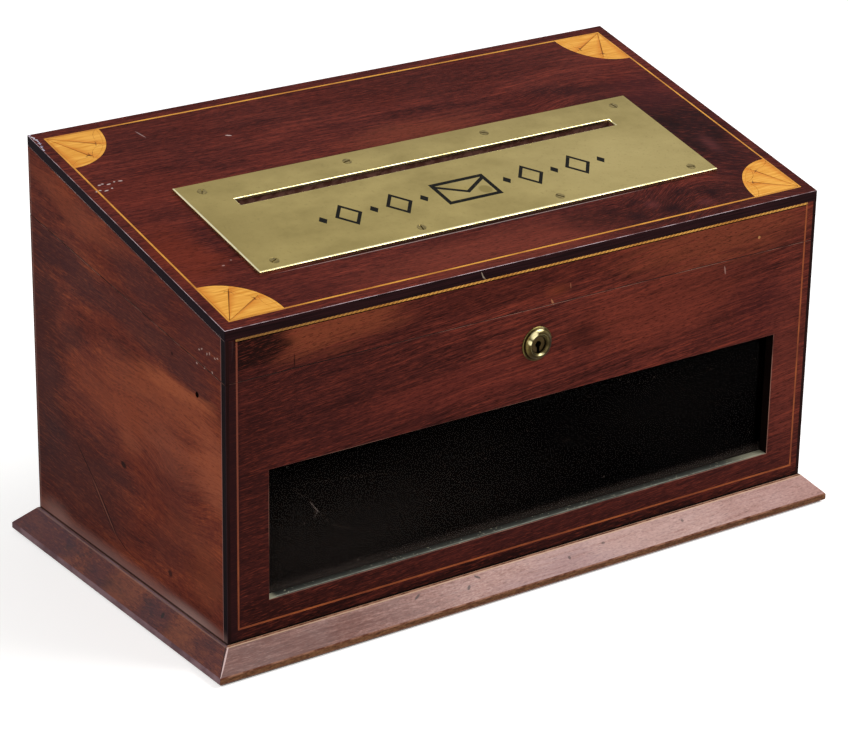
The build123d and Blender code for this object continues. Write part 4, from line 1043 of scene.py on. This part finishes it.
# a worn edge painted pale as the highlight it catches, and the slot's raw wood painted lighter, so
# that it shows brown in the slot's shade
top_arris_highlight = two_toned("rubbed and highlighted arris of the top", ("#765e60", "#bda9ae"), (9, 9))
slot_wood_lightened = two_toned("bare wood in the slot, lightened for its shade", ("#6a4238", "#8e6458"), (5, 5))


def at_rim(middle):
    return abs(middle.x) > half_width - near or middle.y < front_face + near or middle.y > back_face - near


def veneer_finish(normal, middle):
    if normal.dot(top_normal) > square_on:
        return 0
    return 1 if at_rim(middle) else 2


def veneer_arris(one, other, middle):
    return 1.0 if at_rim(middle) and max(one.dot(top_normal), other.dot(top_normal)) > square_on else 0.0


dress("top_veneer", [top_mahogany, ebonised, slot_wood_lightened], veneer_finish, 0.16, veneer_arris, top_arris_highlight)


edge_zone = 20  # mm in from the box's outside, where the panel has its edges but no slot


def panel_finish(normal, middle):
    well_inside = abs(middle.x) < half_width - edge_zone and abs(middle.y) < back_face - edge_zone
    return 1 if well_inside and abs(normal.dot(top_normal)) < 0.1 else 0


dress("lid_panel", [inside_painted_shade, slot_wood_lightened], panel_finish)

# ---------------------------------------------------------------- line and fans let into the top
# A boxwood line and four quarter fans of satinwood, each of three blades in a border. The blades
# were shaded in hot sand before they were let in, darker towards one side and at their tips.
top_boxwood = two_toned("boxwood line, top", ("#b0722e", "#d99a40"), turn=top_turn, **boxwood)
refinish(top_boxwood, "top_stringing")

fan_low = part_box("fan_front_left")[0] / mm
fan_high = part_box("fan_back_left")[1] / mm
fan_first_s, fan_last_s = (
    corner.y * cos(top_slope) + corner.z * sin(top_slope) - top_origin for corner in (fan_low, fan_high)
)
blade_angle = radians(30)
satinwood, tree = new_finish("sand-shaded satinwood")
face = face_space(tree, top_turn, top_origin)
# where a place lies in its fan: across and up from the corner, its angle, and its distance
fan_middle_s = (fan_first_s + fan_last_s) / 2
across_fan = work_out(tree, -fan_low.x, ("SUBTRACT", off_place(tree, face, "X", 0.0)))
up_fan = work_out(tree, fan_last_s - fan_middle_s, ("SUBTRACT", off_place(tree, face, "Y", fan_middle_s)))
angle = work_out(tree, up_fan, ("ARCTAN2", across_fan))
radius = add_node(tree, "ShaderNodeVectorMath", {
    0: add_node(tree, "ShaderNodeCombineXYZ", {"X": across_fan, "Y": up_fan}),
}, operation="LENGTH")
blade_share = work_out(tree, angle, ("DIVIDE", blade_angle), ("FRACT",))
grain = long_noise(tree, face, 14, 1.2, detail=3.0)
colour = tinted(tree, srgb("#ca862e"), "#e6aa4e", (grain, 0.3, 0.7, 0.0, 1.0))
colour = tinted(tree, colour, "#c06c20", (blade_share, 0.55, 1.0, 0.0, 0.6, "SMOOTHSTEP"))
# how far a place is from the joint between two blades, in mm
off_joint = work_out(
    tree, 1.0, ("SUBTRACT", blade_share), ("MINIMUM", blade_share), ("MULTIPLY", blade_angle), ("MULTIPLY", radius),
)
inner_joints = (
    (angle, radians(12), radians(18), 0.0, 1.0),
    (angle, radians(72), radians(78), 1.0, 0.0),
)
colour = tinted(
    tree, colour, "#8e4c18", (off_joint, 0.15, 0.75, 1.0, 0.0, "SMOOTHSTEP"), (radius, 8.0, 24.0, 0.05, 0.75),
    (radius, 24.5, 25.5, 1.0, 0.0), *inner_joints,
)
# a scorched squiggle across the end of each joint
wave = long_noise(tree, face, 5, 5, seed=5.0)
off_line = work_out(tree, wave, ("MULTIPLY_ADD", 9.0, radius), ("SUBTRACT", 29.0), ("ABSOLUTE",))
colour = tinted(
    tree, colour, "#4a2208", (off_line, 0.15, 0.6, 0.75, 0.0), (off_joint, 0.8, 2.8, 1.0, 0.0), *inner_joints,
)
# the line between the blades and their border
colour = tinted(tree, colour, "#a8661f", (radius, 27.7, 28.0, 0.0, 0.35), (radius, 28.2, 28.5, 1.0, 0.0))
surface_of(tree, {"Base Color": colour, "Roughness": 0.4, "Specular IOR Level": 0.05})
refinish(satinwood, "fan_front_left", "fan_front_right", "fan_back_left", "fan_back_right")

# ---------------------------------------------------------------- rope line
# Under the lid's front edge the line is a twisted one: short slanting pieces of boxwood and a
# dark wood by turns, glued up as a strip and let in.
dull_end = Spot(-172, 170, 110, 40, 0.75, "#6e4c2a")
rope_light = two_toned("boxwood pieces of the rope", ("#b47a32", "#d9a24c"), spots=(dull_end,), **boxwood)
rope_dark = two_toned("dark pieces of the rope", ("#8c5828", "#ae783c"), spots=(dull_end,), **boxwood)
rope_low, rope_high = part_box("rope_stringing")
rope_low.z += 0.5 * mm  # it has shrunk from the lower side of its groove
rope_size = rope_high - rope_low
rope_middle = (rope_low + rope_high) / 2
rope_pitch = 2.6 * mm
rope_pieces = 2 * round(rope_size.x / rope_pitch)
rope_slant = radians(56)
piece_size = Vector((rope_size.x / rope_pieces, rope_size.y, rope_size.z))


def growing_tree(name, sizes):
    """A tree that grows a piece from its sizes, what to set its inputs to, and the sockets of its sizes."""
    tree = bpy.data.node_groups.new(name, "GeometryNodeTree")
    inputs = {}
    for label, kind, value in sizes:
        socket = tree.interface.new_socket(label, in_out="INPUT", socket_type="NodeSocket" + kind)
        if value is not None:
            inputs[socket.identifier] = value
    tree.interface.new_socket("Geometry", in_out="OUTPUT", socket_type="NodeSocketGeometry")
    return tree, inputs, add_node(tree, "NodeGroupInput").outputs


tree, rope_inputs, given = growing_tree("rope line", (
    ("Pieces", "Int", rope_pieces),
    ("Piece Size", "Vector", piece_size),
    ("First Place", "Vector", (rope_low.x + piece_size.x / 2, rope_middle.y, rope_middle.z)),
    ("Step", "Vector", (piece_size.x, 0, 0)),
    ("Middle Height", "Float", rope_middle.z),
    ("Half Length", "Float", rope_size.x / 2),
    ("Lean", "Float", tan(rope_slant)),
    ("Straight End", "Float", 4 * mm),
    ("Light Wood", "Material", rope_light),
    ("Dark Wood", "Material", rope_dark),
))
row = add_node(tree, "GeometryNodeMeshLine", {
    "Count": given["Pieces"], "Start Location": given["First Place"], "Offset": given["Step"],
})
block = add_node(tree, "GeometryNodeMeshCube", {"Size": given["Piece Size"]})
blocks = add_node(tree, "GeometryNodeInstanceOnPoints", {"Points": row, "Instance": block})
by_turns = work_out(tree, add_node(tree, "GeometryNodeInputIndex"), ("MODULO", 2.0))
marked = add_node(tree, "GeometryNodeStoreNamedAttribute", {
    "Geometry": blocks, "Name": "dark", "Value": by_turns,
}, data_type="FLOAT", domain="INSTANCE")
laid = add_node(tree, "GeometryNodeRealizeInstances", {0: marked})
# each joint leans over, and less so near the ends, so that the strip keeps its length
spot = add_node(tree, "ShaderNodeSeparateXYZ", {0: add_node(tree, "GeometryNodeInputPosition")}).outputs
from_middle = work_out(tree, spot["X"], ("ABSOLUTE",))
to_end = work_out(tree, given["Half Length"], ("SUBTRACT", from_middle))
fade = share_of(tree, (to_end, 0.0, given["Straight End"], 0.0, 1.0))
offset = work_out(
    tree, spot["Z"], ("SUBTRACT", given["Middle Height"]), ("MULTIPLY", given["Lean"]), ("MULTIPLY", fade),
)
leaning = add_node(tree, "GeometryNodeSetPosition", {
    "Geometry": laid, "Offset": add_node(tree, "ShaderNodeCombineXYZ", {"X": offset}),
})
light = add_node(tree, "GeometryNodeSetMaterial", {"Geometry": leaning, "Material": given["Light Wood"]})
dark_share = add_node(tree, "GeometryNodeInputNamedAttribute", {"Name": "dark"}, data_type="FLOAT")
is_dark = work_out(tree, dark_share, ("GREATER_THAN", 0.5))
add_node(tree, "NodeGroupOutput", {0: add_node(tree, "GeometryNodeSetMaterial", {
    "Geometry": light, "Selection": is_dark, "Material": given["Dark Wood"],
})})


def grow(name, tree, inputs, seedling, node_name):
    """A piece that Geometry Nodes make in place of a CAD node, worked into a plain mesh."""
    piece = bpy.data.objects.new(name, seedling)
    scene.collection.objects.link(piece)
    growth = piece.modifiers.new(tree.name, "NODES")
    growth.node_group = tree
    for identifier, value in inputs.items():
        growth[identifier] = value
    settle(piece)
    if piece.data.materials[0] is None:
        piece.data.materials.pop(index=0)
    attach(piece, nodes[node_name]["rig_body"])
    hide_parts(node_name)


grow("twisted_rope_line", tree, rope_inputs, bpy.data.meshes.new("rope line"), "rope_stringing")

# ---------------------------------------------------------------- posting plate
# A plate of rolled brass with the posting slot, screwed to the lid by eight slotted screws. Its
# face is dulled by old polish, and its bevelled edges are rubbed bright, with highlights painted on
# the front and left ones and round the slot.
# brass gone olive and mottled, with painted highlights along its front and left edges
plate_clouds = (
    Spot(-139, 76, 50, 60, 0.55, "#85743f"),
    Spot(0, 117, 200, 14, 0.35, "#84733f"),
    Spot(90, 60, 90, 50, 0.5, "#b7a56c"),
    Spot(10.5, 61.5, 4.4, 4.2, 0.75, "#7c6c2c", crispness=3.0),
    # bright lines along the front and left edges: painted highlights
    Spot(0.8, 35.9, 180, 0.9, 0.8, "#e6dcae", crispness=4.0),
    Spot(-139.0, 76, 0.8, 60, 0.7, "#e6dfc4", crispness=4.0),
)
plate_brass = metal(
    "old rolled brass", ("#8c7c46", "#a39156"), 26.0, 0.34, brush=(60, 0.5), turn=top_turn, tarnish="#7f6f3d",
    clouds=plate_clouds, origin=top_origin,
)
plate_rubbed_highlight = metal("brass rubbed bright, with painted highlight", ("#cdbd84", "#efe6bb"), 8.0, 0.25)

up_slope = Vector((0, cos(top_slope), sin(top_slope)))
plate_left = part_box("letter_plate")[0].x / mm
plate_first_s = min(v.co.dot(up_slope) / mm for v in nodes["letter_plate"].data.vertices) - top_origin
slot_s = 95.1  # up the slope from the front edge, in mm
slot_reach = 3.5
chamfer = 0.5
flat_cosine = 0.97  # over which a face is the plate's own and not a chamfer


def off_slot(middle):
    return abs(middle.dot(up_slope) - top_origin - slot_s)


def plate_finish(normal, middle):
    # the bevels at the front and left and round the slot take the bright finish: rubbed brass with a painted
    # highlight
    at_front = middle.dot(up_slope) - top_origin < plate_first_s + chamfer
    rubbed = at_front or middle.x < plate_left + chamfer or off_slot(middle) < slot_reach
    return 1 if rubbed and normal.dot(top_normal) < flat_cosine else 0


def slot_arris(one, other, middle):
    on_face = max(one.dot(top_normal), other.dot(top_normal)) > flat_cosine
    return 1.0 if on_face and off_slot(middle) < slot_reach else 0.0


dress("letter_plate", [plate_brass, plate_rubbed_highlight], plate_finish, 0.4, slot_arris, plate_rubbed_highlight)

# the ornament's lines are cut and filled with black sealing wax, which sits a hair below the face
wax = two_toned(
    "black sealing wax", ("#0f0e0b", "#3c3723"), (1.6, 1.6), (0.62, 0.75), 0.5, 0.03, top_turn, detail=3.0, grit=0.5,
    origin=top_origin,
)
refinish(wax, "plate_ornament")

# the screws' slots stand at all angles, and dirt has stayed in and round them
plate_screw_brass = metal(
    "grimy brass screws", ("#5e5230", "#8c7c4c"), 2.0, 0.48, tarnish="#2c2413", turn=top_turn, origin=top_origin,
)
screw_low, screw_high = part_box("plate_screws")
screw_vertices = [v.co for v in nodes["plate_screws"].data.vertices]
plate_face = max(co.dot(top_normal) for co in screw_vertices)
head_rims = [co.dot(up_slope) for co in screw_vertices if co.dot(top_normal) > plate_face - 0.01 * mm]
head_radius = 2.5 * mm
head_depth = 1.5 * mm
shank_radius = 1.2 * mm
shank_length = 4.5 * mm
first_x = screw_low.x + head_radius
row_length = screw_high.x - screw_low.x - 2 * head_radius
places, facings = [], []
for up_place, slot_turns in (
    (min(head_rims) + head_radius, (25, 80, 130, 160)), (max(head_rims) - head_radius, (60, 10, 145, 100)),
):
    for column, slot_turn in enumerate(slot_turns):
        x = first_x + row_length * column / (len(slot_turns) - 1)
        places.append(Vector((x, 0, 0)) + up_place * up_slope + plate_face * top_normal)
        facings.append((Matrix.Rotation(top_slope, 3, "X") @ Matrix.Rotation(radians(slot_turn), 3, "Z")).to_euler())
screw_points = bpy.data.meshes.new("plate screws")
screw_points.from_pydata(places, [], [])
facing = screw_points.attributes.new("facing", "FLOAT_VECTOR", "POINT")
for value, euler in zip(facing.data, facings):
    value.vector = euler

tree, screw_inputs, given = growing_tree("slotted screws", (
    ("Places", "Geometry", None),
    ("Head Radius", "Float", head_radius * 0.96),
    ("Head Depth", "Float", head_depth),
    ("Head Place", "Float", -head_depth),
    ("Dome", "Float", 0.05 * mm),
    ("Slot Size", "Vector", (6 * mm, 0.7 * mm, 1.2 * mm)),
    ("Shank Radius", "Float", shank_radius),
    ("Shank Length", "Float", shank_length),
    ("Shank Place", "Vector", (0, 0, -head_depth - shank_length / 2)),
    ("Brass", "Material", plate_screw_brass),
))
head = add_node(tree, "GeometryNodeMeshCone", {
    "Vertices": 28, "Fill Segments": 4, "Radius Top": given["Head Radius"], "Radius Bottom": given["Shank Radius"],
    "Depth": given["Head Depth"],
})
# the head's face is a shallow dome, highest at its middle
spot = add_node(tree, "ShaderNodeSeparateXYZ", {0: add_node(tree, "GeometryNodeInputPosition")}).outputs
radius = add_node(tree, "ShaderNodeVectorMath", {
    0: add_node(tree, "ShaderNodeCombineXYZ", {"X": spot["X"], "Y": spot["Y"]}),
}, operation="LENGTH")
fall = work_out(tree, radius, ("DIVIDE", given["Head Radius"]), ("POWER", 2.0))
on_face = work_out(tree, spot["Z"], ("GREATER_THAN", 1e-6))
lift = work_out(
    tree, 1.0, ("SUBTRACT", fall), ("MULTIPLY", given["Dome"]), ("MULTIPLY_ADD", on_face, given["Head Place"]),
)
domed = add_node(tree, "GeometryNodeSetPosition", {
    "Geometry": head, "Offset": add_node(tree, "ShaderNodeCombineXYZ", {"Z": lift}),
})
slot = add_node(tree, "GeometryNodeMeshCube", {"Size": given["Slot Size"]})
slotted = add_node(tree, "GeometryNodeMeshBoolean", {"Mesh 1": domed, "Mesh 2": slot}, operation="DIFFERENCE",
                   solver="EXACT")
shank = add_node(tree, "GeometryNodeMeshCylinder", {
    "Vertices": 16, "Radius": given["Shank Radius"], "Depth": given["Shank Length"],
})
set_shank = add_node(tree, "GeometryNodeTransform", {"Geometry": shank, "Translation": given["Shank Place"]})
screw = add_node(tree, "GeometryNodeJoinGeometry", {0: slotted})
tree.links.new(set_shank.outputs[0], screw.inputs[0])
turned = add_node(tree, "GeometryNodeInputNamedAttribute", {"Name": "facing"}, data_type="FLOAT_VECTOR")
screws = add_node(tree, "GeometryNodeInstanceOnPoints", {
    "Points": given["Places"], "Instance": screw, "Rotation": turned,
})
laid = add_node(tree, "GeometryNodeRealizeInstances", {0: screws})
add_node(tree, "NodeGroupOutput", {0: add_node(tree, "GeometryNodeSetMaterial", {
    "Geometry": laid, "Material": given["Brass"],
})})
grow("slotted_plate_screws", tree, screw_inputs, screw_points, "plate_screws")
